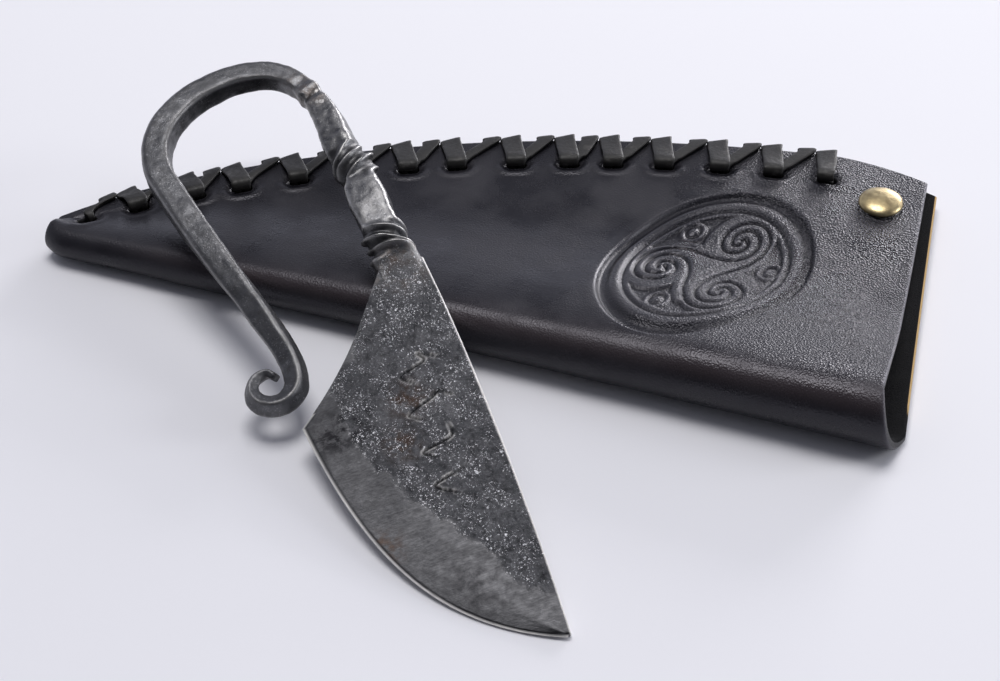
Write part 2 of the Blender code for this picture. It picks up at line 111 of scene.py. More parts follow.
# The bar's line, as on the CAD part: X, Y and size.
SHANK = (
    (7.0, 0.0, 2.4), (1.0, -0.2, 6.0), (-5.0, -0.9, 7.2),
    (-14.0, -1.3, 6.6), (-20.0, -1.4, 7.0), (-28.0, -1.5, 6.4),
    (-36.0, -2.8, 5.8), (-43.0, -3.1, 5.4), (-49.5, -4.2, 5.0),
)
BOW = (
    (-55.6, -6.4, 4.8), (-60.6, -10.2, 5.0), (-63.2, -16.8, 5.3), (-62.8, -25.2, 5.6),
    (-59.5, -32.8, 5.8), (-53.5, -38.4, 6.0), (-46.0, -40.6, 6.0), (-36.0, -39.2, 6.0),
    (-22.0, -35.8, 5.8), (-8.0, -31.9, 5.2), (4.0, -28.7, 4.7), (11.0, -27.2, 4.3),
)
SCROLL_CENTRE = (17.3, -32.0)
SCROLL_ANGLES = (95, -215)
SCROLL_RADII = (5.1, 2.2)
SCROLL_SIZES = (4.1, 1.4)
SCROLL_POINTS = 11

NECK_AT = (83.3, 5.9, 15.6)
LEAN = math.radians(13.0)
SPINE_TURN = math.radians(-51.8)

# ---- drawings to frame

leather_low, leather_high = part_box("sheath_leather")
SHEATH_ORIGIN = np.array(
    (leather_high.x - SHEATH_LENGTH * MM, leather_low.y, leather_low.z)
)
KNIFE_TURN = np.array(Matrix.Rotation(LEAN, 3, "X") @ Matrix.Rotation(SPINE_TURN, 3, "Z"))


def sheath_to_frame(points):
    return np.asarray(points, float) * MM + SHEATH_ORIGIN


def knife_to_frame(points):
    return sheath_to_frame(np.asarray(points, float) @ KNIFE_TURN.T + np.array(NECK_AT))


# ---- small maths


def smooth_step(value, low=0.0, high=1.0):
    share = np.clip((value - low) / (high - low), 0.0, 1.0)
    return share * share * (3 - 2 * share)


def hump(value, centre, half_width):
    """A smooth bump, 1 at the centre and 0 beyond the half width."""
    return 1 - smooth_step(np.abs(value - centre), 0.0, half_width)


def blend(ends, share):
    return ends[0] + (ends[1] - ends[0]) * share


def bezier(corners, share):
    share = np.asarray(share, float)[..., None]
    a, b, c, d = (np.array(corner, float) for corner in corners)
    return (
        (1 - share) ** 3 * a
        + 3 * share * (1 - share) ** 2 * b
        + 3 * share**2 * (1 - share) * c
        + share**3 * d
    )


def rough(points, size, octaves=1, offset=0.0):
    """Smooth noise from about -1 to 1 at each point, with features of the given size."""
    shift = Vector((offset, offset * 0.7, -offset))
    found = [
        noise.fractal(Vector(point) / size + shift, 1.0, 2.0, octaves)
        if octaves > 1
        else noise.noise(Vector(point) / size + shift)
        for point in points
    ]
    return np.array(found)


def distance(points, place):
    """Distance of each 2-D point from one place."""
    return np.hypot(*(points - np.array(place)).T)


def line_distance(points, line):
    """Distance of each 2-D point from a polyline."""
    best = np.full(len(points), 1e9)
    for start, end in zip(line[:-1], line[1:]):
        along = end - start
        share = np.clip(((points - start) @ along) / max(along @ along, 1e-12), 0, 1)
        gap = points - start - share[:, None] * along
        best = np.minimum(best, gap[:, 0] ** 2 + gap[:, 1] ** 2)
    return np.sqrt(best)


# ---- meshes


def make_piece(name, points, faces, body, looks, face_looks=None, weights=None):
    """A smooth mesh piece on a CAD body, with its materials and named vertex weights."""
    mesh = bpy.data.meshes.new(name)
    mesh.from_pydata(np.asarray(points, float).tolist(), [], faces)
    for look in looks:
        mesh.materials.append(look)
    if face_looks is not None:
        mesh.polygons.foreach_set("material_index", np.asarray(face_looks, np.int32))
    mesh.polygons.foreach_set("use_smooth", np.ones(len(faces), bool))
    for label, values in (weights or {}).items():
        layer = mesh.attributes.new(label, "FLOAT", "POINT")
        layer.data.foreach_set("value", np.asarray(values, np.float32))
    mesh.update()
    obj = bpy.data.objects.new(name, mesh)
    bpy.context.scene.collection.objects.link(obj)
    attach(obj, body)
    return obj


def ring_faces(rings, size):
    """Faces of a closed tube made of rings of points, with a cap at each end."""
    faces = []
    for ring in range(rings - 1):
        low = ring * size
        for spot in range(size):
            after = (spot + 1) % size
            faces.append((low + spot, low + after, low + size + after, low + size + spot))
    faces.append(tuple(range(size))[::-1])
    faces.append(tuple(range((rings - 1) * size, rings * size)))
    return faces


def shell_faces(quads, count):
    """Faces of a sheet, of its copy whose points come count places later, and of the walls between."""
    ways = np.stack([quads, np.roll(quads, -1, axis=1)], -1).reshape(-1, 2)
    keys = ways[:, 0] * count + ways[:, 1]
    start, end = ways[~np.isin(ways[:, 1] * count + ways[:, 0], keys)].T
    walls = np.stack([end, start, start + count, end + count], -1)
    return quads, quads[:, ::-1] + count, walls


# ---- materials

DRAWN = 4.0  # how many times longer than broad the drawn-out patterns are


class Nodes:
    """Adds nodes to a tree. An input takes a number, a vector, a colour or another node's output."""

    def __init__(self, tree):
        self.tree = tree

    def put(self, socket, value):
        if isinstance(value, bpy.types.NodeSocket):
            self.tree.links.new(value, socket)
        elif socket.type == "RGBA":
            socket.default_value = (*value, 1.0)
        else:
            socket.default_value = value

    def node(self, kind, output, inputs, **settings):
        """Adds a node and returns one of its outputs. Its settings are such as a maths operation."""
        added = self.tree.nodes.new("ShaderNode" + kind)
        for name, value in settings.items():
            setattr(added, name, value)
        for name, value in inputs.items():
            self.put(added.inputs[name], value)
        return added.outputs[output]

    def range(self, value, low, high, out_low=0.0, out_high=1.0):
        """Maps low to high onto the two out values, and holds them beyond."""
        ends = {"From Min": low, "From Max": high, "To Min": out_low, "To Max": out_high}
        return self.node("MapRange", "Result", {"Value": value, **ends})

    def plus(self, first, second):
        return self.node("Math", "Value", {0: first, 1: second}, operation="ADD")

    def minus(self, first, second):
        return self.node("Math", "Value", {0: first, 1: second}, operation="SUBTRACT")

    def times(self, first, second):
        return self.node("Math", "Value", {0: first, 1: second}, operation="MULTIPLY")

    def larger(self, first, second):
        return self.node("Math", "Value", {0: first, 1: second}, operation="MAXIMUM")


class Look(Nodes):
    """A procedural material."""

    def __init__(self, name):
        self.material = bpy.data.materials.new(name)
        self.material.use_nodes = True
        super().__init__(self.material.node_tree)
        self.place = self.node("TexCoord", "Object", {})

    def made_of(self, **inputs):
        """Sets the shader's inputs and returns the material."""
        shader = self.tree.nodes["Principled BSDF"]
        for name, value in inputs.items():
            self.put(shader.inputs[name.replace("_", " ")], value)
        return self.material

    def drawn_out(self, turn, longer):
        """Coordinates that draw a pattern out along one direction of the table's plane."""
        inputs = {"Vector": self.place, "Rotation": (0.0, 0.0, turn), "Scale": (longer, 1.0, 1.0)}
        return self.node("Mapping", "Vector", inputs, vector_type="TEXTURE")

    def noise(self, size_mm, detail=3.0, roughness=0.5, place=None, distortion=0.0):
        inputs = {"Vector": place or self.place, "Scale": 1 / (size_mm * MM), "Detail": detail}
        return self.node("TexNoise", "Fac", {**inputs, "Roughness": roughness, "Distortion": distortion})

    def cells(self, size_mm):
        return self.node("TexVoronoi", "Distance", {"Vector": self.place, "Scale": 1 / (size_mm * MM)})

    def weight(self, name):
        """A piece's own weight, as make_piece names it."""
        return self.node("Attribute", "Fac", {}, attribute_name=name)

    def pointiness(self):
        """Above one half on ridges and below it in hollows."""
        return self.node("NewGeometry", "Pointiness", {})

    def mix(self, share, first, second):
        """Mixes two colours, which are the node's inputs 6 and 7; output 2 is the colour."""
        return self.node("Mix", 2, {"Factor": share, 6: first, 7: second}, data_type="RGBA")

    def bump(self, height, depth_mm, strength=1.0, under=None):
        inputs = {"Height": height, "Distance": depth_mm * MM, "Strength": strength}
        if under is not None:
            inputs["Normal"] = under
        return self.node("Bump", "Normal", inputs)


def black_leather():
    """Dyed hide: smooth and cloudy, pebbled where the grain weight says, tan where the dye ends, with
    painted sheen on the fold and painted highlights on raised ridges and the front mouth edge.
    """
    look = Look("black_leather")
    grain = look.weight("grain")
    cloud = look.noise(14)
    fine = look.noise(0.28, 3, 0.6)
    base = look.mix(cloud, (0.0036, 0.0036, 0.0052), (0.0120, 0.0114, 0.0150))
    # painted sheen: a paler brownish band along the crown of the fold, where the fold catches the light
    base = look.mix(look.times(look.weight("fold_sheen"), 0.8), base, (0.042, 0.032, 0.034))
    # painted highlight: raised ridges of the relief and grain lightened to a bluish grey
    ridges = look.range(look.pointiness(), 0.505, 0.56, 0.0, 0.45)
    base = look.mix(ridges, base, (0.085, 0.082, 0.095))
    base = look.mix(look.range(look.weight("raw"), 0.3, 0.7), base, (0.30, 0.22, 0.13))
    # painted highlight: a pale grey line along the rubbed front mouth edge, where it catches the light
    base = look.mix(look.weight("rubbed"), base, (0.16, 0.155, 0.17))
    roughness = look.range(cloud, 0.36, 0.64, 0.19, 0.44)
    open_places = look.range(look.pointiness(), 0.42, 0.50, 0.2, 1.0)
    drawn = look.noise(2.2, 4, place=look.drawn_out(0.0, DRAWN))
    pebbled = look.bump(look.cells(0.42), 0.24, grain, look.bump(drawn, 0.10, 0.35))
    return look.made_of(
        Base_Color=base,
        Roughness=look.plus(roughness, look.range(fine, 0.3, 0.7, -0.04, 0.06)),
        Specular_IOR_Level=look.times(open_places, look.range(grain, 0, 1, 0.34, 0.56)),
        Specular_Tint=(0.93, 0.915, 1.0),
        Normal=look.bump(fine, 0.05, 0.6, pebbled),
    )


def suede():
    """The hide's inside, with a tan rim where the dye ends."""
    look = Look("sheath_suede")
    hide = look.mix(look.noise(4), (0.004, 0.004, 0.0045), (0.012, 0.012, 0.013))
    return look.made_of(
        Base_Color=look.mix(look.range(look.weight("raw"), 0.35, 0.65), hide, (0.50, 0.34, 0.16)),
        Roughness=0.97,
        Specular_IOR_Level=0.12,
        Normal=look.bump(look.noise(0.35, 4, 0.7), 0.25, 1.0),
    )


def cut_leather():
    """Fibres of a cut edge, black where it was dyed and tan where it wasn't."""
    look = Look("cut_leather_edge")
    fibres = look.noise(0.4, 4, 0.6)
    dyed = look.mix(fibres, (0.008, 0.008, 0.010), (0.028, 0.027, 0.028))
    raw = look.mix(fibres, (0.42, 0.27, 0.12), (0.62, 0.45, 0.24))
    return look.made_of(
        Base_Color=look.mix(look.range(look.weight("raw"), 0.30, 0.60), dyed, raw),
        Roughness=look.range(fibres, 0.2, 0.8, 0.45, 0.7),
        Normal=look.bump(fibres, 0.12, 0.8),
    )


def thong_leather():
    """Streaky black strap, paler on its ridges and in rubbed patches."""
    look = Look("dark_thong")
    streak = look.noise(0.9, 4, 0.6)
    patch = look.noise(3.2, 4, 0.6)
    ridges = look.times(look.range(look.pointiness(), 0.51, 0.60), 0.35)
    rubbed = look.larger(ridges, look.range(patch, 0.60, 0.75, 0, 0.7))
    base = look.mix(patch, (0.004, 0.0038, 0.0035), (0.014, 0.0125, 0.011))
    return look.made_of(
        Base_Color=look.mix(rubbed, base, (0.070, 0.066, 0.062)),
        Roughness=look.range(streak, 0.25, 0.75, 0.40, 0.62),
        Specular_IOR_Level=0.4,
        Normal=look.bump(streak, 0.12, 0.8),
    )


def brass():
    """Scuffed brass with dull stains."""
    look = Look("rivet_brass")
    scuff = look.noise(0.8, 5, 0.6)
    stain = look.range(look.noise(2.4), 0.35, 0.7)
    return look.made_of(
        Base_Color=look.mix(stain, (0.50, 0.41, 0.23), (0.30, 0.235, 0.13)),
        Metallic=1.0,
        Roughness=look.range(scuff, 0.3, 0.7, 0.28, 0.46),
        Normal=look.bump(scuff, 0.03, 0.5),
    )


def forged_iron():
    """Forge scale that is pitted, ground smooth near the edge and burnished where it was handled, with
    painted glints on flecks, ridges and edges and painted shade in hollows.
    """
    look = Look("forged_iron")
    scale = look.weight("scale")
    shine = look.weight("shine")
    polish_glint = look.weight("polish_glint")
    patch = look.noise(1.6, 4, 0.6)

    clumps = look.noise(4.5, 4, 0.7)
    # painted glints: near-white flecks that stand in for pits and chips in the scale catching the light
    small = look.range(look.noise(0.34, 3, 0.6, distortion=0.8), 0.60, 0.635)
    large = look.range(look.noise(1.0, 4, 0.65, distortion=1.2), 0.635, 0.665)
    small = look.times(small, look.range(clumps, 0.45, 0.53, 0.12, 1.0))
    large = look.times(large, look.range(clumps, 0.50, 0.55))
    fleck_glints = look.times(look.larger(small, large), scale)

    dark = look.range(look.noise(6, 4, 0.6), 0.35, 0.65)
    base = look.mix(dark, (0.064, 0.065, 0.070), (0.112, 0.113, 0.119))
    base = look.mix(look.range(patch, 0.45, 0.75, 0.0, 0.8), base, (0.022, 0.022, 0.025))
    base = look.mix(look.times(shine, look.range(patch, 0.32, 0.62)), base, (0.40, 0.395, 0.39))

    ground = look.times(look.weight("ground"), 0.8)
    scratches = look.noise(0.32, 4, 0.65, place=look.drawn_out(SPINE_TURN + math.pi / 2, 9.0))
    band = look.mix(look.range(scratches, 0.40, 0.62), (0.036, 0.036, 0.039), (0.066, 0.066, 0.070))
    base = look.mix(ground, base, band)
    smears = look.plus(look.noise(3.2, 5, 0.7), look.times(scratches, 0.5))
    smudge = look.times(look.weight("smudge"), look.range(smears, 0.70, 0.82))
    base = look.mix(smudge, base, (0.012, 0.012, 0.014))
    rusted = look.times(look.weight("rust"), look.range(patch, 0.42, 0.66))
    base = look.mix(rusted, base, (0.075, 0.040, 0.022))

    # painted highlight: near-white on the bar's ridges and along the polished edges and corners, with less
    # metal there
    ridges = look.times(look.range(look.pointiness(), 0.51, 0.57), look.range(shine, 0.12, 0.4))
    base = look.mix(look.larger(look.times(ridges, 0.55), polish_glint), base, (0.80, 0.78, 0.75))
    # painted glints of the flecks
    base = look.mix(fleck_glints, base, (0.85, 0.85, 0.88))
    # painted shade: near black in the chisel cuts, the twist valleys and under the first bend of the bar
    base = look.mix(look.weight("hollow_shade"), base, (0.004, 0.004, 0.005))

    brushed = look.noise(0.5, place=look.drawn_out(0.0, DRAWN))
    drag = look.bump(scratches, 0.05, ground)
    pits = look.bump(look.noise(0.6, 5, 0.75), 0.28, look.range(scale, 0, 1, 0.08, 1.0), drag)
    return look.made_of(
        Base_Color=base,
        Metallic=look.range(look.larger(fleck_glints, look.times(polish_glint, 0.8)), 0, 1, 0.92, 0.35),
        Roughness=look.minus(look.range(patch, 0.3, 0.7, 0.34, 0.52), look.times(shine, 0.20)),
        Normal=look.bump(brushed, 0.03, 0.5, pits),
    )


# ---- sheath shape

SHARES = np.linspace(0, 1, 600)
EDGE_LINE = bezier(EDGE_CURVE, SHARES)


def sheath_width(x):
    past = EDGE_CURVE[3][1] - EDGE_FALL * (x - WIDEST_AT) ** 2
    return np.where(x >= WIDEST_AT, past, np.interp(x, EDGE_LINE[:, 0], EDGE_LINE[:, 1]))


def fold_height(x):
    return FOLD_AT_TIP + FOLD_GAIN * (np.maximum(x, 0.0) / SHEATH_LENGTH) ** 0.8


def lacing_inset(x):
    return 3.7 + 5.0 * (1 - np.exp(-x / 28))


def lift(x, y):
    full_at = np.maximum(LIFT_SHORTEST, sheath_width(x) - lacing_inset(x))
    return LIFT * np.minimum(1.0, np.maximum(y, 0.0) / full_at)


def front_middle(x, y):
    radius = fold_height(x) / 2
    meets = radius + (sheath_width(x) - radius) * (0.62 - 0.2 * (x / SHEATH_LENGTH) ** 4)
    flat = 1.5 * LEATHER + LAYER_GAP
    crown = fold_height(x) - LEATHER / 2
    return lift(x, y) + crown + (flat - crown) * smooth_step((y - radius) / (meets - radius))


def mouth_end(front, y):
    share = np.clip(y / MOUTH_WIDTH, 0.0, 1.0)
    if front:
        return FRONT_MOUTH - FRONT_MOUTH_RAKE * share**1.3
    return SHEATH_LENGTH - BACK_MOUTH_RAKE * share


def tip_shift(x):
    return TIP_ROUND_DEPTH * np.maximum(0.0, 1 - (x - TIP_AT) / TIP_ROUND) ** 2


def sheath_middle(share, lane):
    """Middle surface of the leather, and how far each point is from the nearest cut edge.

    lane runs -1 to 0 over the back, from the laced edge, 0 to 1 round the fold and 1 to 2 over the front.
    """
    mouth_width = float(sheath_width(SHEATH_LENGTH))
    across = np.where(lane < 0, -lane, np.maximum(lane - 1, 0.0))
    turn = np.clip(lane, 0.0, 1.0)
    end_back = mouth_end(False, across * mouth_width)
    end_front = mouth_end(True, across * mouth_width)
    end_fold = blend((SHEATH_LENGTH, FRONT_MOUTH), turn)
    end = np.where(lane < 0, end_back, np.where(lane > 1, end_front, end_fold))
    x = TIP_AT + (end - TIP_AT) * share
    radius = fold_height(x) / 2
    bend = radius - LEATHER / 2
    width = sheath_width(x)
    y_flat = radius + across * (width - radius)
    y_fold = radius - bend * np.sin(turn * math.pi)
    in_fold = (lane >= 0) & (lane <= 1)
    y = np.where(in_fold, y_fold, y_flat)
    z_back = lift(x, y) + LEATHER / 2
    z_fold = lift(x, y) + radius - bend * np.cos(turn * math.pi)
    z = np.where(lane < 0, z_back, np.where(in_fold, z_fold, front_middle(x, y)))
    y = y + tip_shift(x) * (1 - across)
    to_side = np.where(in_fold, 99.0, (1 - across) * (width - radius))
    to_end = np.minimum(x - TIP_AT, end - x)
    return np.stack([x, y, z], -1), np.minimum(to_side, to_end)


class LacedEdge:
    """Places measured along the laced edge, and inwards from it."""

    def __init__(self, steps=1600):
        self.xs = np.linspace(0, FRONT_MOUTH, steps + 1)
        widths = sheath_width(self.xs)
        self.arcs = np.concatenate([[0], np.cumsum(np.hypot(np.diff(self.xs), np.diff(widths)))])

    def x_at(self, arc):
        return np.interp(arc, self.arcs, self.xs)

    def arc_at(self, x):
        return np.interp(x, self.xs, self.arcs)

    def place(self, arc, inwards):
        x = self.x_at(arc)
        slope = np.where(x > 0.5, sheath_width(x + 0.5) - sheath_width(x - 0.5), 1.4)
        size = np.hypot(1.0, slope)
        return x + inwards * slope / size, sheath_width(x) - inwards / size

    def direction(self, arc):
        ahead = self.place(arc + 0.5, 0.0)
        behind = self.place(arc - 0.5, 0.0)
        return math.atan2(ahead[1] - behind[1], ahead[0] - behind[0])


edge = LacedEdge()
HOLE_ARCS = [
    blend((FIRST_HOLE_ARC, edge.arc_at(LAST_HOLE_X)), index / (HOLES - 1)) + off
    for index, off in enumerate(PUNCHED_OFF)
]
SLOTS = []
for hole_arc in HOLE_ARCS:
    hole_x, hole_y = edge.place(hole_arc, lacing_inset(edge.x_at(hole_arc)))
    SLOTS.append((float(hole_x), float(hole_y), edge.direction(hole_arc)))


def slot_frame(points, slot):
    """Points in a slot's own axes: along it and across it."""
    x, y, turn = slot
    gap = points - np.array((x, y))
    cos, sin = math.cos(turn), math.sin(turn)
    return np.stack([gap[..., 0] * cos + gap[..., 1] * sin, gap[..., 1] * cos - gap[..., 0] * sin], -1)


def slot_core(local, length, width):
    """Nearest point on the slot's middle line, whose ends are round."""
    reach = (length - width) / 2
    return np.stack([np.clip(local[..., 0], -reach, reach), np.zeros(local.shape[:-1])], -1)


# ---- medallion relief

MEDALLION_AT = (138.1, 36.0)
MEDALLION_HALF = (28.8, 19.3)
MEDALLION_LEAN = math.radians(17.0)
MEDALLION_MEAN = math.sqrt(MEDALLION_HALF[0] * MEDALLION_HALF[1])
SPIRAL_AT = (0.435, math.radians(71))
ARM_PITCH = 0.215
ARM_START = 0.030
LEAVING_RADIUS = 0.315
ARRIVING_RADIUS = 0.255
LEAVING_ANGLE = math.radians(45)
ARRIVING_ANGLE = math.radians(38)
DOT_AT = (0.600, math.radians(9))
CHANNEL = (0.885, 1.0)
CHANNEL_DEPTH = 0.92
STEP_AT = 0.765
FIELD_EDGE = 0.715
LEAF_FROM_SPIRAL = 0.335
LEAF_FROM_LINK = 0.085
THIRDS = [math.radians(120 * third) for third in range(3)]


def medallion_frame(points):
    """Points of the sheath drawing in the medallion's own round frame, where its rim has radius 1."""
    gap = points - np.array(MEDALLION_AT)
    long_way = np.array((math.sin(MEDALLION_LEAN), math.cos(MEDALLION_LEAN)))
    short_way = np.array((long_way[1], -long_way[0]))
    a = gap @ long_way / MEDALLION_HALF[0]
    b = gap @ short_way / MEDALLION_HALF[1]
    return a[..., None] * long_way + b[..., None] * short_way


def turned(points, angle):
    cos, sin = math.cos(angle), math.sin(angle)
    return points @ np.array(((cos, sin), (-sin, cos)))


def polar(radius, angle):
    return radius * np.array((math.cos(angle), math.sin(angle)))


def unit(way):
    return way / np.linalg.norm(way)


def medallion_lines():
    """Grooves of a three-fold knot: spirals in pairs of arms, each running on into the next spiral."""
    centre = polar(*SPIRAL_AT)
    follower = turned(centre[None], math.radians(-120))[0]

    def arm(middle, last_angle, last_radius):
        turns = (last_radius - ARM_START) / ARM_PITCH
        shares = np.linspace(0, 1, 56)
        angles = last_angle + (1 - shares) * turns * 2 * math.pi
        radii = blend((ARM_START, last_radius), shares)
        return middle + radii[:, None] * np.stack([np.cos(angles), np.sin(angles)], -1)

    towards = math.atan2(*(follower - centre)[::-1])
    leaving = arm(centre, towards + LEAVING_ANGLE, LEAVING_RADIUS)
    arriving = arm(follower, towards + math.pi + ARRIVING_ANGLE, ARRIVING_RADIUS)
    start, end = leaving[-1], arriving[-1]
    reach = np.linalg.norm(end - start) * 0.45
    after_start = start + unit(leaving[-1] - leaving[-2]) * reach
    before_end = end + unit(arriving[-1] - arriving[-2]) * reach
    link = bezier((start, after_start, before_end, end), np.linspace(0, 1, 24))
    arms = np.concatenate([leaving, link[1:-1], arriving[::-1]])
    return [turned(arms, spin) for spin in THIRDS], [turned(link, spin) for spin in THIRDS]


def medallion_relief(points):
    """Height of the pressed medallion in millimetres."""
    local = medallion_frame(points)
    radius = np.hypot(local[:, 0], local[:, 1])
    height = 0.08 * hump(radius, 1.06, 0.10)
    channel = smooth_step(radius, CHANNEL[0] - 0.03, CHANNEL[0] + 0.045)
    channel *= 1 - smooth_step(radius, CHANNEL[1] - 0.035, CHANNEL[1] + 0.012)
    height -= CHANNEL_DEPTH * channel
    height += 0.22 * hump(radius, 0.835, 0.075)
    height -= 0.45 * np.exp(-(((radius - STEP_AT) / 0.018) ** 2))
    inside = radius < STEP_AT
    field = local[inside]
    arms, links = medallion_lines()
    cut = np.zeros(len(field))
    for line in arms:
        gap = line_distance(field, line) * MEDALLION_MEAN
        cut = np.maximum(cut, np.exp(-((gap / 0.38) ** 2)))
    swell = np.zeros(len(field))
    to_link = np.min([line_distance(field, link) for link in links], axis=0)
    room = np.minimum(FIELD_EDGE - radius[inside], to_link - LEAF_FROM_LINK)
    for spin in THIRDS:
        to_spiral = distance(field, polar(SPIRAL_AT[0], SPIRAL_AT[1] + spin))
        room = np.minimum(room, to_spiral - LEAF_FROM_SPIRAL)
        to_dot = distance(field, polar(DOT_AT[0], DOT_AT[1] + spin))
        swell = np.maximum(swell, np.exp(-((to_dot / 0.052) ** 4)))
        swell = np.maximum(swell, 0.8 * np.exp(-(((to_dot - 0.105) / 0.020) ** 2)))
    leaf = smooth_step(room, 0.0, 0.030) * (np.hypot(*field.T) > 0.32)
    height[inside] += -0.72 * cut - 0.60 * leaf + 0.60 * swell * leaf
    return height


# ---- leather piece

NEAR_EDGE = (0.0, 0.12, 0.3, 0.55)
FLAT_WIDTH = 76.0
CUT_ROUNDING = 0.6


def sheath_lanes():
    """Lanes across the leather, close together at the cut edges, over the lacing and on the front."""
    back = [*NEAR_EDGE, *np.arange(0.9, 14.0, 0.42), *np.arange(14.5, 75.0, 2.6)]
    front = [*NEAR_EDGE, *np.arange(0.85, FLAT_WIDTH, 0.36)]
    back_lanes = [-(1 - gap / FLAT_WIDTH) for gap in back]
    front_lanes = sorted(2 - gap / FLAT_WIDTH for gap in front)
    return np.array([*back_lanes, *np.linspace(0, 1, 22), *(lane for lane in front_lanes if lane > 1.001)])


def sheath_rows():
    """Rows from the tip, 0, to the mouth, 1, close together at the ends and over the medallion."""
    xs = [TIP_AT + gap for gap in NEAR_EDGE] + [SHEATH_LENGTH - gap for gap in NEAR_EDGE]
    xs += list(np.arange(TIP_AT + 1.0, 108, 0.6))
    xs += list(np.arange(108.3, 169, 0.33))
    xs += list(np.arange(169.5, SHEATH_LENGTH - 0.8, 0.55))
    return (np.array(sorted(xs)) - TIP_AT) / (SHEATH_LENGTH - TIP_AT)


def grid_normals(grid):
    down = np.gradient(grid, axis=0)
    over = np.gradient(grid, axis=1)
    normal = np.cross(down, over)
    return normal / np.maximum(np.linalg.norm(normal, axis=-1, keepdims=True), 1e-12)


def leather_details(flat):
    """Heights pressed or drawn into the front of the leather, by place on the sheath drawing."""
    height = medallion_relief(flat)
    for slot in SLOTS:
        local = slot_frame(flat, slot)
        gap = np.linalg.norm(local - slot_core(local, SLOT_LENGTH, SLOT_WIDTH), axis=-1)
        gap = gap - SLOT_WIDTH / 2
        height -= 0.42 * np.exp(-((np.maximum(gap, 0) / 0.9) ** 2))
        height += 0.22 * hump(gap, 1.7, 1.5) * smooth_step(-local[:, 1], -0.5, 1.5)
    rivet_gap = np.hypot(flat[:, 0] - RIVET_AT[0], flat[:, 1] - RIVET_AT[1])
    height -= 0.30 * np.exp(-((rivet_gap / 6.5) ** 4))
    below = smooth_step(RIVET_AT[1] - flat[:, 1], 0.0, 6.0)
    height += 0.40 * hump(rivet_gap, 11.0, 6.5) * below
    return height


def punch(middle, lane):
    """Moves points of the surface onto the rims of its holes, and returns which quads are left."""
    keep = np.ones((lane.shape[0] - 1, lane.shape[1] - 1), bool)
    quad_centre = (middle[:-1, :-1] + middle[1:, 1:])[..., :2] / 2
    flat_quads = (lane[:-1, :-1] >= 1) | (lane[1:, 1:] < 0)
    holes = [(slot, SLOT_LENGTH, SLOT_WIDTH) for slot in SLOTS]
    holes.append(((*RIVET_AT, 0.0), RIVET_HOLE_RADIUS * 2, RIVET_HOLE_RADIUS * 2))
    shifts = np.zeros((*lane.shape, 2))
    for slot, length, width in holes:
        local = slot_frame(quad_centre, slot)
        gap = np.linalg.norm(local - slot_core(local, length, width), axis=-1)
        inside = (gap < width / 2) & flat_quads
        keep &= ~inside
        around = np.zeros(lane.shape, int)
        for down in (0, 1):
            for over in (0, 1):
                around[down : down + inside.shape[0], over : over + inside.shape[1]] += inside
        rim = (around > 0) & (around < 4)
        local = slot_frame(middle[rim][:, :2], slot)
        core = slot_core(local, length, width)
        away = local - core
        away /= np.maximum(np.linalg.norm(away, axis=-1, keepdims=True), 1e-9)
        move = core + away * width / 2 - local
        cos, sin = math.cos(slot[2]), math.sin(slot[2])
        shifts[rim] = np.stack(
            [move[:, 0] * cos - move[:, 1] * sin, move[:, 0] * sin + move[:, 1] * cos], -1
        )
    middle[..., :2] += shifts
    return keep


def leather_weights(flat, share, lane):
    """Where the leather is grained, where the painted sheen lies on the fold, where the rubbed front mouth
    edge gets a painted highlight and where it is undyed: for its outer face, then its inner one.
    """
    x, y = flat[:, 0], flat[:, 1]
    grain = 0.18 + 0.82 * smooth_step(x, 118, 158) * smooth_step(y, 2, 14)
    # the band of painted sheen along the fold's crown
    fold_sheen = hump(lane, 0.84, 0.24) * smooth_step(x, 10, 50)
    undyed = smooth_step(-lane, 0.03, 0.14)
    raw = undyed * smooth_step(share, 0.9995, 1.0)
    raw = np.maximum(raw, (lane < -0.9999) & (x > LAST_HOLE_X))
    raw = np.maximum(raw, 0.8 * ((lane > 1.998) & (x > LAST_HOLE_X + 3)))
    to_back_mouth = (1 - share) * (SHEATH_LENGTH - TIP_AT)
    to_front_mouth = (1 - share) * (FRONT_MOUTH - TIP_AT)
    rim = undyed * smooth_step(0.5 - to_back_mouth, 0.0, 0.25)
    # the painted highlight line along the front layer's mouth edge
    rubbed = (lane > 1) * hump(to_front_mouth, 0.15, 0.45)
    return {
        "grain": (grain, grain),
        "rubbed": (rubbed, 0 * rubbed),
        "fold_sheen": (fold_sheen, fold_sheen),
        "raw": (raw, rim),
    }


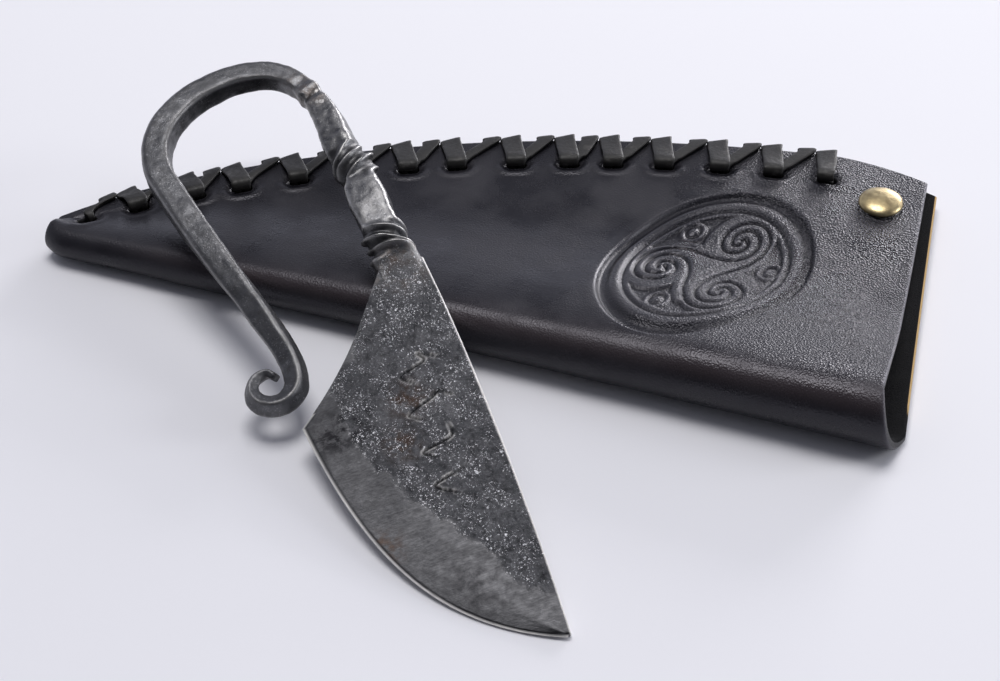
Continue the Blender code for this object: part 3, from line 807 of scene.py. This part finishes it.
def make_leather():
    share, lane = np.meshgrid(sheath_rows(), sheath_lanes(), indexing="ij")
    middle, to_cut = sheath_middle(share, lane)
    normal = grid_normals(middle).reshape(-1, 3)
    keep = punch(middle, lane)
    index = np.arange(lane.size).reshape(lane.shape)
    quads = np.stack([index[:-1, :-1], index[1:, :-1], index[1:, 1:], index[:-1, 1:]], -1)[keep]
    share, lane, to_cut = share.ravel(), lane.ravel(), to_cut.ravel()
    middle = middle.reshape(-1, 3)
    flat = middle[:, :2]

    inset = np.clip(CUT_ROUNDING - to_cut, 0.0, CUT_ROUNDING)
    half = LEATHER / 2 - CUT_ROUNDING + np.sqrt(CUT_ROUNDING**2 - inset**2)
    details = np.zeros(len(lane))
    details[lane > 1] = leather_details(flat[lane > 1])
    waves = rough(middle, 17.0) * 0.20 + rough(middle, 5.0, 1, 3.0) * 0.05
    waves = np.where(lane < 0, 0.0, waves * smooth_step(to_cut, 0.0, 3.0))
    outer = middle + (half + details + waves)[:, None] * normal
    inner = middle - (half - 0.3 * waves)[:, None] * normal

    parts = shell_faces(quads, len(lane))
    looks = np.repeat((0, 1, 2), [len(part) for part in parts])
    used = np.zeros(len(lane), bool)
    used[quads.ravel()] = True
    used = np.tile(used, 2)
    new_index = np.cumsum(used) - 1
    weights = {
        name: np.concatenate(faces)[used] for name, faces in leather_weights(flat, share, lane).items()
    }
    return make_piece(
        "sheath_leather_shell",
        sheath_to_frame(np.concatenate([outer, inner])[used]),
        new_index[np.concatenate(parts)].tolist(),
        "sheath",
        [black_leather(), suede(), cut_leather()],
        looks,
        weights,
    )


# ---- lacing


class ThongRoute:
    """Sections of the thong: along the laced edge, inwards from it, height, half width and heading."""

    def __init__(self):
        self.sections = []

    def surface(self, arc, inwards, side):
        x, y = edge.place(arc, inwards)
        clear = LACING_CLEARANCE + THONG_THICK / 2
        if side > 0:
            return float(front_middle(x, y)) + LEATHER / 2 + clear
        return float(lift(x, y)) - clear

    def add(self, arc, inwards, height, half_width, heading, tilt=0.0):
        self.sections.append((arc, inwards, height, half_width, heading, tilt))

    def lie(self, arc, inwards, side, half_width, heading):
        self.add(arc, inwards, self.surface(arc, inwards, side), half_width, heading)

    def up_through(self, arc, inset, top=True):
        low = self.surface(arc, inset - 1.2, -1)
        high = self.surface(arc, inset - 1.2, 1)
        self.add(arc, inset - 1.3, low, PASS_HALF_WIDTH, 0)
        self.add(arc, inset - 0.4, low + 0.25, PASS_HALF_WIDTH, 45)
        self.add(arc, inset, low + 1.1, PASS_HALF_WIDTH, 90)
        self.add(arc, inset, high - 1.1, PASS_HALF_WIDTH, 90)
        if not top:
            return
        self.add(arc, inset - 0.4, high - 0.25, PASS_HALF_WIDTH, 135)
        self.add(arc, inset - 1.3, high, PASS_HALF_WIDTH + 0.4, 180)

    def over_edge(self, arc, half_width, tilt):
        high = self.surface(arc, 0.8, 1)
        low = self.surface(arc, 0.8, -1)
        outside = -LACING_CLEARANCE - THONG_THICK / 2
        self.add(arc, 0.9, high, half_width, 180, tilt)
        self.add(arc, outside + 0.25, high - 0.3, half_width, 225, tilt)
        self.add(arc, outside, high - 1.0, half_width, 270, tilt)
        self.add(arc, outside, low + 1.0, half_width, 270)
        self.add(arc, outside + 0.25, low + 0.3, half_width, 315)
        self.add(arc, 0.9, low, half_width, 360)


def thong_sections():
    """The route, listed step by step: up through a slot, over it and the edge, up again, and slanting to
    the next.
    """
    route = ThongRoute()
    half = 2.3
    for index, arc in enumerate(HOLE_ARCS):
        inset = float(lacing_inset(edge.x_at(arc)))
        near = inset - 2.4
        high = route.surface(arc, inset - 1.2, 1)
        if index == 0:
            route.lie(arc + PASS_OFFSET, 1.2, -1, 1.6, 0)
        else:
            route.up_through(arc - PASS_OFFSET, inset + 0.15, top=False)
            route.add(arc - 0.45, inset + 0.66, high - 0.50, 1.76, 102)
            route.add(arc - 0.2, inset + 0.60, high + 0.30, 2.12, 130)
            route.add(arc - 0.05, inset - 0.25, high + 0.95, half, 172)
            route.add(arc - 0.3, near - 0.2, route.surface(arc, near, 1) + 0.75, half, 183)
            route.over_edge(arc - OVER_BACK, half, 0.45)
            route.lie(arc + PASS_OFFSET, near, -1, half - 0.3, 0)
        route.up_through(arc + PASS_OFFSET, inset - 0.1, top=index == 0)
        if index == HOLES - 1:
            continue
        next_arc = HOLE_ARCS[index + 1]
        next_near = float(lacing_inset(edge.x_at(next_arc))) - 2.4
        if index:
            route.add(arc + 1.2, inset - 0.55, high - 0.35, 1.0, 135)
            route.add(arc + 1.5, inset - 1.3, high - 0.05, 1.4, 178)
        route.lie(arc + 2.4, near, 1, 1.7, 180)
        route.over_edge(next_arc - DIAGONAL_BEFORE_NEXT, half - 0.4, 0.2)
        route.lie(next_arc - 2.9, next_near, -1, 1.5, 0)
    sections = np.array(route.sections)
    sections[:, 4] = np.degrees(np.unwrap(np.radians(sections[:, 4])))
    return sections


def catmull(values, steps):
    """Smooth in-between rows through every given row."""
    padded = np.concatenate([values[:1], values, values[-1:]])
    share = np.arange(steps)[:, None] / steps
    found = []
    for a, b, c, d in zip(padded, padded[1:], padded[2:], padded[3:]):
        curved = (2 * a - 5 * b + 4 * c - d) * share**2 + (3 * b - a - 3 * c + d) * share**3
        found.append((2 * b + (c - a) * share + curved) / 2)
    return np.concatenate([*found, values[-1:]])


def make_thong():
    sections = catmull(thong_sections(), 5)
    size = 16
    angles = (np.arange(size) + 0.5) / size * 2 * math.pi
    across = np.sign(np.cos(angles)) * np.abs(np.cos(angles)) ** 0.32
    out = np.sign(np.sin(angles)) * np.abs(np.sin(angles)) ** 0.6
    rings = []
    for arc, inwards, height, half_width, heading, tilt in sections:
        turn = math.radians(heading)
        swell = out * THONG_THICK / 2 - tilt * across
        x, y = edge.place(arc + across * half_width, inwards - math.sin(turn) * swell)
        z = height + math.cos(turn) * swell
        rings.append(np.stack([x, y, z], -1))
    points = np.concatenate(rings)
    wander = np.stack([rough(points, 1.1, 1, shift) for shift in (0.0, 5.0, 9.0)], -1)
    points = points + wander * 0.06
    faces = [face[::-1] for face in ring_faces(len(rings), size)]
    return make_piece("lacing_thong_strap", sheath_to_frame(points), faces, "sheath", [thong_leather()])


# ---- rivet

CAP_RISE = 1.9
CAP_RIM = 0.35
CAP_DENTS = 0.05
POST_RADIUS = 1.6
SOCKET_RADIUS = 1.0
PIN_RADIUS = 0.7
BACK_CAP_THICK = 0.7


def turned_piece(name, profile, look, dents=0.0, steps=72):
    """Turns (radius, height) pairs, from the axis out and back to the axis, about the rivet's axis."""
    angles = np.arange(steps) / steps * 2 * math.pi
    points = [(0.0, 0.0, profile[0][1])]
    for radius, height in profile[1:-1]:
        points += [(radius * math.cos(a), radius * math.sin(a), height) for a in angles]
    points.append((0.0, 0.0, profile[-1][1]))
    points = np.array(points)
    if dents:
        lean = rough(points * (1, 1, 0.2), 1.9, 2) * dents
        points[:, 2] += lean * smooth_step(points[:, 2], profile[0][1] - 1.6, profile[0][1])
    rings = len(profile) - 2
    faces = []
    for spot in range(steps):
        after = (spot + 1) % steps
        faces.append((0, 1 + spot, 1 + after))
        for ring in range(rings - 1):
            low = 1 + ring * steps
            faces.append((low + spot, low + steps + spot, low + steps + after, low + after))
        last = 1 + (rings - 1) * steps
        faces.append((last + after, last + spot, len(points) - 1))
    points[:, :2] += np.array(RIVET_AT)
    return make_piece(name, sheath_to_frame(points), faces, "sheath", [look])


def drawing_height(corner):
    return (corner.z - SHEATH_ORIGIN[2]) / MM


def make_front_cap(look):
    """A domed cap whose hollow post goes down through the leather."""
    low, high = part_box("rivet_front_cap")
    radius = (high.x - low.x) / 2 / MM
    seat = drawing_height(high) - CAP_RISE
    post_end = drawing_height(low)
    dome = [
        (radius * math.sin(a), seat + CAP_RIM + (CAP_RISE - CAP_RIM) * math.cos(a))
        for a in np.radians(np.arange(0, 91, 5))
    ]
    profile = [
        *dome,
        (radius + 0.02, seat + 0.2),
        (radius - 0.08, seat + 0.05),
        (radius - 0.3, seat),
        (POST_RADIUS + 0.05, seat),
        (POST_RADIUS, seat - 0.1),
        (POST_RADIUS, post_end),
        (SOCKET_RADIUS + 0.05, post_end),
        (SOCKET_RADIUS, post_end + 0.1),
        (SOCKET_RADIUS, seat - 0.4),
        (0.0, seat - 0.4),
    ]
    return turned_piece("rivet_cap", profile, look, CAP_DENTS)


def make_back_cap(look):
    """A flat cap whose pin goes up into the post."""
    low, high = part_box("rivet_back_cap")
    radius = (high.x - low.x) / 2 / MM
    base, pin_top = drawing_height(low), drawing_height(high)
    face = base + BACK_CAP_THICK
    profile = [
        (0.0, pin_top),
        (PIN_RADIUS - 0.15, pin_top),
        (PIN_RADIUS, pin_top - 0.15),
        (PIN_RADIUS, face + 0.1),
        (PIN_RADIUS + 0.2, face),
        (radius - 0.15, face),
        (radius, face - 0.15),
        (radius, base + 0.3),
        (radius - 0.35, base + 0.03),
        (radius - 0.8, base),
        (1.6, base),
        (1.2, base + 0.12),
        (0.0, base + 0.16),
    ]
    return turned_piece("rivet_back", profile, look)


# ---- knife

CREASE = 9.0  # higher makes the line where the grind starts sharper
HONED_FROM = 0.93  # rows of the outline past this one have a honed edge, with a painted glint along it
CHISEL_MARKS = (
    ((23.8, 0.5), (21.5, -3.3), (23.5, -2.7), (25.3, -7.9), (28.0, -5.7)),
    ((32.8, 0.0), (31.1, -1.9), (32.1, -3.6), (34.3, -8.9), (36.4, -6.6)),
    ((39.1, -2.5), (41.8, -2.9), (43.2, -8.8), (45.3, -6.5)),
    ((49.3, -2.6), (50.9, -8.9), (54.0, -5.2)),
)
HEEL_SMUDGE = (33.0, -23.0)
TIP_SMUDGE = (74.0, -9.0)
RUST_SPOTS = (((31.0, -8.0), 7.0), ((60.0, -22.0), 6.0), ((40.0, -12.0), 6.0))

# Distances along the bar start inside the blade. Two stretches of the shank are twisted, at TWISTS.
TWISTS = ((14.0, 5.0), (37.0, 6.0))
TWIST_KNOTS = (
    (0.0, 0.0), (10.0, 0.0), (18.0, -270.0), (29.5, -282.0),
    (32.5, -275.0), (41.5, -20.0), (56.0, -10.0), (63.5, 0.0),
)
# Where the bar swells or is nipped in: place, half width and share of its size.
SWELLS = (
    (10.3, 2.4, 0.14), (13.4, 1.7, -0.15), (17.0, 2.0, 0.05), (24.0, 6.0, 0.06),
    (32.5, 2.6, -0.15), (36.3, 2.6, 0.13), (40.2, 1.7, -0.10), (43.5, 2.0, 0.04),
    (58.0, 1.6, -0.10), (60.5, 1.6, 0.10), (63.0, 1.6, -0.06),
)
# Where the bar grows out of the blade: place, breadth and depth.
NECK = (
    (0.0, 5.0, 2.0), (3.0, 8.4, 2.7), (6.0, 9.4, 3.5), (8.5, 9.0, 5.0), (10.5, 8.0, 6.4), (12.5, 7.2, 7.2),
)
SCROLL_RUN = 30.0
SCROLL_DEPTHS = (4.3, 3.3)
SQUARENESS = 14.0
CORNER_AT = 1.26  # how far out the hammered corners lie, in half sides; 1.41 would be sharp
FIRST_BEND = 58.3


def blade_outline(row):
    """Spine point, front point, spine thickness and front thickness.

    row runs 0 to 1 along the choil and 1 to 2 along the edge.
    """
    in_choil = row < 1
    along = np.where(in_choil, row, row - 1)
    spine_share = np.where(in_choil, HEEL_SHARE * along, blend((HEEL_SHARE, 1.0), along))
    front = np.where(in_choil[:, None], bezier(CHOIL, along), bezier(EDGE, along))
    thin = np.where(in_choil, blend(FRONT_THICK, smooth_step(along)), FRONT_THICK[1])
    return bezier(SPINE, spine_share), front, blend(SPINE_THICK, spine_share), thin


def blade_half(share, spine_thick, front_thick, from_spine, to_edge):
    """Half the thickness, creased where the grind starts, rubbed at the spine and honed at the edge."""
    middle = blend((spine_thick, front_thick), 0.25)
    near_spine = spine_thick + (middle - spine_thick) * share / GRIND_SHARE
    near_front = middle + (front_thick - middle) * ((share - GRIND_SHARE) / (1 - GRIND_SHARE))
    half = -np.log(np.exp(-CREASE * near_spine) + np.exp(-CREASE * near_front)) / CREASE / 2
    half = half + (0.69 / CREASE / 2) * hump(share, GRIND_SHARE, 0.15)
    rubbed = 0.32 * np.clip(1 - from_spine / 0.45, 0, 1) ** 2
    honed = np.clip(1 - to_edge / 0.8, 0, 1)
    return np.maximum(half - rubbed, 0.05) * (1 - 0.72 * honed)


def chisel_cuts(points):
    """How deep the chisel marks are at each point, and how high the burr beside them."""
    cut = np.zeros(len(points))
    burr = np.zeros(len(points))
    for mark in CHISEL_MARKS:
        line = catmull(np.array(mark), 6)
        for index in range(len(line) - 1):
            depth = math.sin(math.pi * (index + 0.5) / (len(line) - 1)) ** 0.4
            gap = line_distance(points, line[index : index + 2])
            cut = np.maximum(cut, depth * np.exp(-((gap / 0.27) ** 2)))
            burr = np.maximum(burr, depth * hump(gap, 0.50, 0.26))
    return cut, burr


def forge_scale(place, row, from_front):
    """1 where the forge scale is left, 0 in the ragged band ground along the edge and at the tip."""
    ragged = rough(place, 9.0, 3) * 2.6 + rough(place, 2.4, 2, 4.0) * 0.8
    band = 7.0 + 6.0 * smooth_step(row, 1.0, 1.5) - 4.5 * smooth_step(row, 1.55, 1.95)
    band = band * smooth_step(row, 0.80, 1.0)
    to_tip = (2 - row) * 60
    return smooth_step(from_front + ragged - band, -0.6, 1.2) * smooth_step(to_tip + ragged * 0.5, 1.0, 5.0)


def blade_weights(points, in_scale, cut, polish_glint, polish_glint_below):
    neck = np.hypot(points[:, 0] - 2.0, points[:, 1] * 0.8)
    rust = hump(neck, 0.0, 7.0) * 0.5
    for spot, size in RUST_SPOTS:
        rust = np.maximum(rust, 0.7 * hump(distance(points, spot), 0.0, size))
    smudge = hump(np.hypot(*((points - np.array(HEEL_SMUDGE)) / (1.0, 1.3)).T), 0.0, 9.0)
    smudge = np.maximum(smudge, 0.5 * hump(distance(points, TIP_SMUDGE), 0.0, 9.0))
    return {
        "scale": np.tile(in_scale, 2),
        "shine": np.tile(0.10 * (1 - in_scale) + 0.20 * hump(neck, 1.0, 6.0), 2),
        "polish_glint": np.concatenate([polish_glint, polish_glint_below]),
        "ground": np.tile(1 - in_scale, 2),
        "smudge": np.tile(smudge, 2),
        "rust": np.tile(rust, 2),
        # painted shade in the chisel cuts, on the top face only
        "hollow_shade": np.concatenate([0.9 * cut, 0 * cut]),
    }


def make_blade_mesh():
    rows = np.concatenate([np.linspace(0, 1, 96, endpoint=False), np.linspace(1, 2, 290)])
    columns = np.concatenate([[0, 0.006, 0.015], np.linspace(0, 1, 144)[3:-2], [0.988, 0.996, 1.0]])
    spine, front, *thick = blade_outline(rows)
    points = (spine[:, None] + (front - spine)[:, None] * columns[None, :, None]).reshape(-1, 2)
    width, spine_thick, front_thick, row = (
        np.repeat(values, len(columns))
        for values in (np.linalg.norm(front - spine, axis=-1), *thick, rows)
    )
    share = np.tile(columns, len(rows))
    from_spine, from_front = share * width, (1 - share) * width
    to_edge = np.where(row > HONED_FROM, from_front, np.inf)
    half = blade_half(share, spine_thick, front_thick, from_spine, to_edge)

    place = np.concatenate([points, np.zeros((len(points), 1))], 1)
    in_scale = forge_scale(place, row, from_front)
    cut, burr = chisel_cuts(points)
    dents = rough(place, 11.0, 1, 2.0) * 0.16 + rough(place, 4.5, 1, 7.0) * 0.05
    dents_below = rough(place, 10.0, 1, 15.0) * 0.12
    pits = -0.11 * smooth_step(rough(place, 0.9, 3, 1.0), 0.12, 0.42) * in_scale
    pits += 0.035 * rough(place, 1.6, 2, 6.0) * in_scale
    pits_below = -0.10 * smooth_step(rough(place, 0.95, 3, 12.0), 0.12, 0.42) * in_scale
    room = np.minimum(1, half / 0.6)
    top = np.maximum(half + dents * room + pits - 0.42 * cut + 0.08 * burr, 0.03)
    under = np.maximum(half + dents_below * room + pits_below, 0.03)
    upper = np.concatenate([points, top[:, None]], 1)
    lower = np.concatenate([points, -under[:, None]], 1)

    index = np.arange(len(points)).reshape(len(rows), len(columns))
    quads = np.stack([index[:-1, :-1], index[:-1, 1:], index[1:, 1:], index[1:, :-1]], -1).reshape(-1, 4)
    faces = np.concatenate(shell_faces(quads, len(points)))

    # painted glints: lines along the honed edge and the rubbed spine, and on the chisel burrs
    edge_line = np.clip(1 - to_edge / 0.50, 0, 1) ** 0.5
    spine_line = np.clip(1 - from_spine / 0.42, 0, 1) * 0.9
    edge_glint_lines = np.maximum(edge_line, spine_line)
    burr_glint = 0.50 * burr * smooth_step(rough(place, 2.0, 2, 3.0), -0.1, 0.3)
    weights = blade_weights(points, in_scale, cut, np.maximum(edge_glint_lines, burr_glint), edge_glint_lines)
    return np.concatenate([upper, lower]), faces.tolist(), weights


def scroll_points():
    found = []
    for step in range(SCROLL_POINTS):
        share = step / (SCROLL_POINTS - 1)
        angle = math.radians(blend(SCROLL_ANGLES, share))
        radius = SCROLL_RADII[1] + (SCROLL_RADII[0] - SCROLL_RADII[1]) * math.sqrt(1 - share)
        x = SCROLL_CENTRE[0] + radius * math.cos(angle)
        y = SCROLL_CENTRE[1] + radius * math.sin(angle)
        found.append((x, y, blend(SCROLL_SIZES, share)))
    return found


def bar_line(path, steps=16):
    """The bar's centre line and sizes, drawn as the same Bezier curve as the CAD part's handle."""
    curve = bpy.data.curves.new("bar_line", "CURVE")
    curve.dimensions = "3D"
    curve.resolution_u = steps
    spline = curve.splines.new("BEZIER")
    spline.bezier_points.add(len(path) - 1)
    for point, (x, y, _) in zip(spline.bezier_points, path):
        point.co = (x, y, 0)
        point.handle_left_type = "AUTO"
        point.handle_right_type = "AUTO"
    obj = bpy.data.objects.new("bar_line", curve)
    bpy.context.scene.collection.objects.link(obj)
    bpy.context.view_layer.update()
    graph = bpy.context.evaluated_depsgraph_get()
    mesh = bpy.data.meshes.new_from_object(obj.evaluated_get(graph))
    line = np.array([vertex.co[:2] for vertex in mesh.vertices])
    bpy.data.objects.remove(obj)
    bpy.data.meshes.remove(mesh)
    knots = np.linspace(0, len(path) - 1, len(line))
    return line, np.interp(knots, np.arange(len(path)), [point[2] for point in path])


def hammered_square(count):
    """A square with slanted corners: a direction and radius all round, and 1 where it is a corner."""
    angles = np.arange(count) / count * 2 * math.pi
    cos, sin = np.cos(angles), np.sin(angles)
    sides = np.abs(cos) ** SQUARENESS + np.abs(sin) ** SQUARENESS
    corners = (np.abs(cos + sin) / math.sqrt(2) / CORNER_AT) ** SQUARENESS
    corners = corners + (np.abs(cos - sin) / math.sqrt(2) / CORNER_AT) ** SQUARENESS
    return cos, sin, (sides + corners) ** (-1 / SQUARENESS), corners / (sides + corners)


def bar_twist(along, total):
    """How far the bar is turned about its line, in degrees."""
    twist = np.interp(along, *zip(*TWIST_KNOTS))
    for _ in range(4):
        twist[1:-1] = (twist[:-2] + 2 * twist[1:-1] + twist[2:]) / 4
    return twist + 24 * smooth_step(along, total - 75, total - 32)


def bar_sizes(along, size, total):
    """Breadth and depth of the bar, before its hammered corners."""
    breadth, depth = size.copy(), size.copy()
    curled = along > total - SCROLL_RUN
    full = blend(SCROLL_DEPTHS, smooth_step(along, total - SCROLL_RUN, total))
    depth[curled] = np.maximum(depth, full)[curled]
    neck = along < NECK[-1][0]
    places, breadths, depths = zip(*NECK)
    breadth[neck] = np.interp(along[neck], places, breadths)
    depth[neck] = np.interp(along[neck], places, depths)
    swell = np.ones(len(along))
    for place, half_width, amount in SWELLS:
        swell += amount * hump(along, place, half_width)
    return breadth * swell, depth * swell


def make_handle_mesh(count=72):
    line, sizes = bar_line([*SHANK, *BOW, *scroll_points()])
    lengths = np.concatenate([[0], np.cumsum(np.hypot(*np.diff(line, axis=0).T))])
    total = lengths[-1]
    bow_from, scroll_from = 68, total - 28
    stretches = ((0, bow_from, 0.26), (bow_from, scroll_from, 0.5), (scroll_from, total, 0.3))
    along = np.concatenate([np.arange(*stretch) for stretch in stretches])
    x, y, size = (np.interp(along, lengths, values) for values in (*line.T, sizes))
    way = np.stack([np.gradient(x, along), np.gradient(y, along)], -1)
    way /= np.linalg.norm(way, axis=-1, keepdims=True)
    breadth, depth = bar_sizes(along, size, total)
    turn = np.radians(bar_twist(along, total))[:, None]
    cos, sin, radius, corner = hammered_square(count)

    at = along[:, None]
    in_twist = sum(hump(at, *twist) for twist in TWISTS)
    valley = in_twist * (1 - corner) ** 3
    pinch = 1 - 0.05 * valley
    u = radius * cos * breadth[:, None] / 2 * pinch
    v = radius * sin * depth[:, None] / 2 * pinch
    broad = 1 + 0.13 * smooth_step(at, 10, 14) * (1 - smooth_step(at, 50, 62))
    a = (u * np.cos(turn) - v * np.sin(turn)) * broad
    b = u * np.sin(turn) + v * np.cos(turn)
    middle = np.stack([x, y, 0 * x], -1)[:, None]
    outwards = np.stack([-way[:, 1:] * a, way[:, :1] * a, b], -1)
    points = (middle + outwards).reshape(-1, 3)
    normal = outwards.reshape(-1, 3)
    normal = normal / np.maximum(np.linalg.norm(normal, axis=-1, keepdims=True), 1e-9)

    dents = rough(points, 5.0, 2, 2.0) * 0.16 + rough(points, 1.3, 2, 8.0) * 0.05
    dents += rough(points, 2.2, 2, 5.0) * 0.07 * np.repeat(1 - smooth_step(along, 56, 72), count)
    points = points + normal * (dents * np.repeat(smooth_step(along, 1.0, 6.0), count))[:, None]

    in_shank = 1 - smooth_step(at, 56, 70)
    near_blade = 1 - 0.7 * (1 - smooth_step(at, 7, 13))
    undercut = hump(at + 1.3 * cos, FIRST_BEND, 0.9)
    even = np.ones(count)
    weights = {
        "scale": (1 - 0.82 * smooth_step(at, 6.0, 11.0)) * even,
        # painted shade in the twist valleys and the undercut below the first bend
        "hollow_shade": np.clip(0.70 * valley + 0.75 * undercut, 0, 1),
        "ground": 0 * valley,
        "smudge": 0 * valley,
        "shine": near_blade * (0.12 + 0.50 * in_shank) * (0.55 + 0.45 * corner),
        # painted glint along the bar's corners
        "polish_glint": corner**3 * (0.42 + 0.14 * in_shank),
        "rust": (0.5 * hump(at, 9.0, 5.0) + 0.55 * hump(at, 60.0, 9.0)) * even,
    }
    return points, ring_faces(len(along), count), {name: part.ravel() for name, part in weights.items()}


def make_knife(look):
    made = []
    for name, make_mesh in (("knife_blade", make_blade_mesh), ("knife_handle", make_handle_mesh)):
        points, faces, weights = make_mesh()
        made.append(make_piece(name, knife_to_frame(points), faces, "knife", [look], None, weights))
    return made


# ---- studio

VIEW_AIM = (0.0089, -0.0026, 0.0)
VIEW_DISTANCE = 0.411
VIEW_AZIMUTH = 21.8
VIEW_ELEVATION = 43.0
VIEW_ROLL = -1.8
VIEW_LENS = 72.53

HORIZON_LIGHT = 1.25
ZENITH_LIGHT = 0.42
FRONT_SHARE = 0.14
FLOOR_REACH = 6.0
FLOOR_GAP = 0.0001


def aimed(obj, place, aim, roll=0.0):
    place, aim = Vector(place), Vector(aim)
    turn = (aim - place).to_track_quat("-Z", "Y").to_matrix().to_4x4()
    obj.matrix_world = Matrix.Translation(place) @ turn @ Matrix.Rotation(math.radians(roll), 4, "Z")


def make_camera():
    camera = bpy.data.objects.new("camera", bpy.data.cameras.new("camera"))
    camera.data.lens = VIEW_LENS
    camera.data.sensor_width = 36.0
    camera.data.clip_start = 0.01
    camera.data.dof.use_dof = False
    bpy.context.scene.collection.objects.link(camera)
    azimuth, elevation = math.radians(VIEW_AZIMUTH), math.radians(VIEW_ELEVATION)
    back = Vector(
        (
            math.sin(azimuth) * math.cos(elevation),
            -math.cos(azimuth) * math.cos(elevation),
            math.sin(elevation),
        )
    )
    aimed(camera, Vector(VIEW_AIM) + back * VIEW_DISTANCE, VIEW_AIM, VIEW_ROLL)
    bpy.context.scene.camera = camera


def softbox(name, place, size, power, colour):
    light = bpy.data.lights.new(name, "AREA")
    light.shape = "RECTANGLE"
    light.size, light.size_y = size
    light.energy = power
    light.color = colour
    obj = bpy.data.objects.new(name, light)
    bpy.context.scene.collection.objects.link(obj)
    aimed(obj, place, (0, 0, 0))


def make_sky():
    """Light from all round, strongest at the horizon and weakest in front of the object."""
    world = bpy.data.worlds.new("studio")
    bpy.context.scene.world = world
    world.use_nodes = True
    sky = Nodes(world.node_tree)
    way = sky.node("TexCoord", "Generated", {})
    height = sky.node("SeparateXYZ", "Z", {"Vector": way})
    depth = sky.node("SeparateXYZ", "Y", {"Vector": way})
    rising = sky.range(height, 0.02, 0.50, HORIZON_LIGHT, ZENITH_LIGHT)
    background = sky.tree.nodes["Background"]
    sky.put(background.inputs["Color"], (0.84, 0.86, 1.0))
    sky.put(background.inputs["Strength"], sky.times(rising, sky.range(depth, -0.7, 0.3, FRONT_SHARE)))


def make_floor():
    far = FLOOR_REACH
    mesh = bpy.data.meshes.new("floor")
    mesh.from_pydata([(-far, -far, 0), (far, -far, 0), (far, far, 0), (-far, far, 0)], [], [(0, 1, 2, 3)])
    look = Look("studio_floor")
    mesh.materials.append(
        look.made_of(Base_Color=(0.83, 0.83, 0.865), Roughness=0.9, Specular_IOR_Level=0.2)
    )
    floor = bpy.data.objects.new("floor", mesh)
    floor.location.z = cad_low.z - FLOOR_GAP
    bpy.context.scene.collection.objects.link(floor)


def make_studio():
    bpy.context.scene.view_settings.view_transform = "Standard"
    make_sky()
    softbox("back_box", (0.30, 1.20, 0.30), (0.7, 0.34), 9.5, (1.0, 0.98, 1.0))
    softbox("top_box", (-0.12, 0.22, 1.1), (0.6, 0.5), 7.0, (1.0, 0.985, 0.98))
    softbox("right_box", (0.95, 0.35, 0.40), (0.3, 0.4), 3.0, (0.97, 0.98, 1.0))
    make_floor()


# ---- assembly

make_camera()
make_studio()

leather = make_leather()
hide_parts("sheath_leather")

thong = make_thong()
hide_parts("lacing_thong")

rivet_look = brass()
rivet_front = make_front_cap(rivet_look)
rivet_back = make_back_cap(rivet_look)
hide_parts("rivet_front_cap")
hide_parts("rivet_back_cap")

blade, handle = make_knife(forged_iron())
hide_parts("knife_forging")
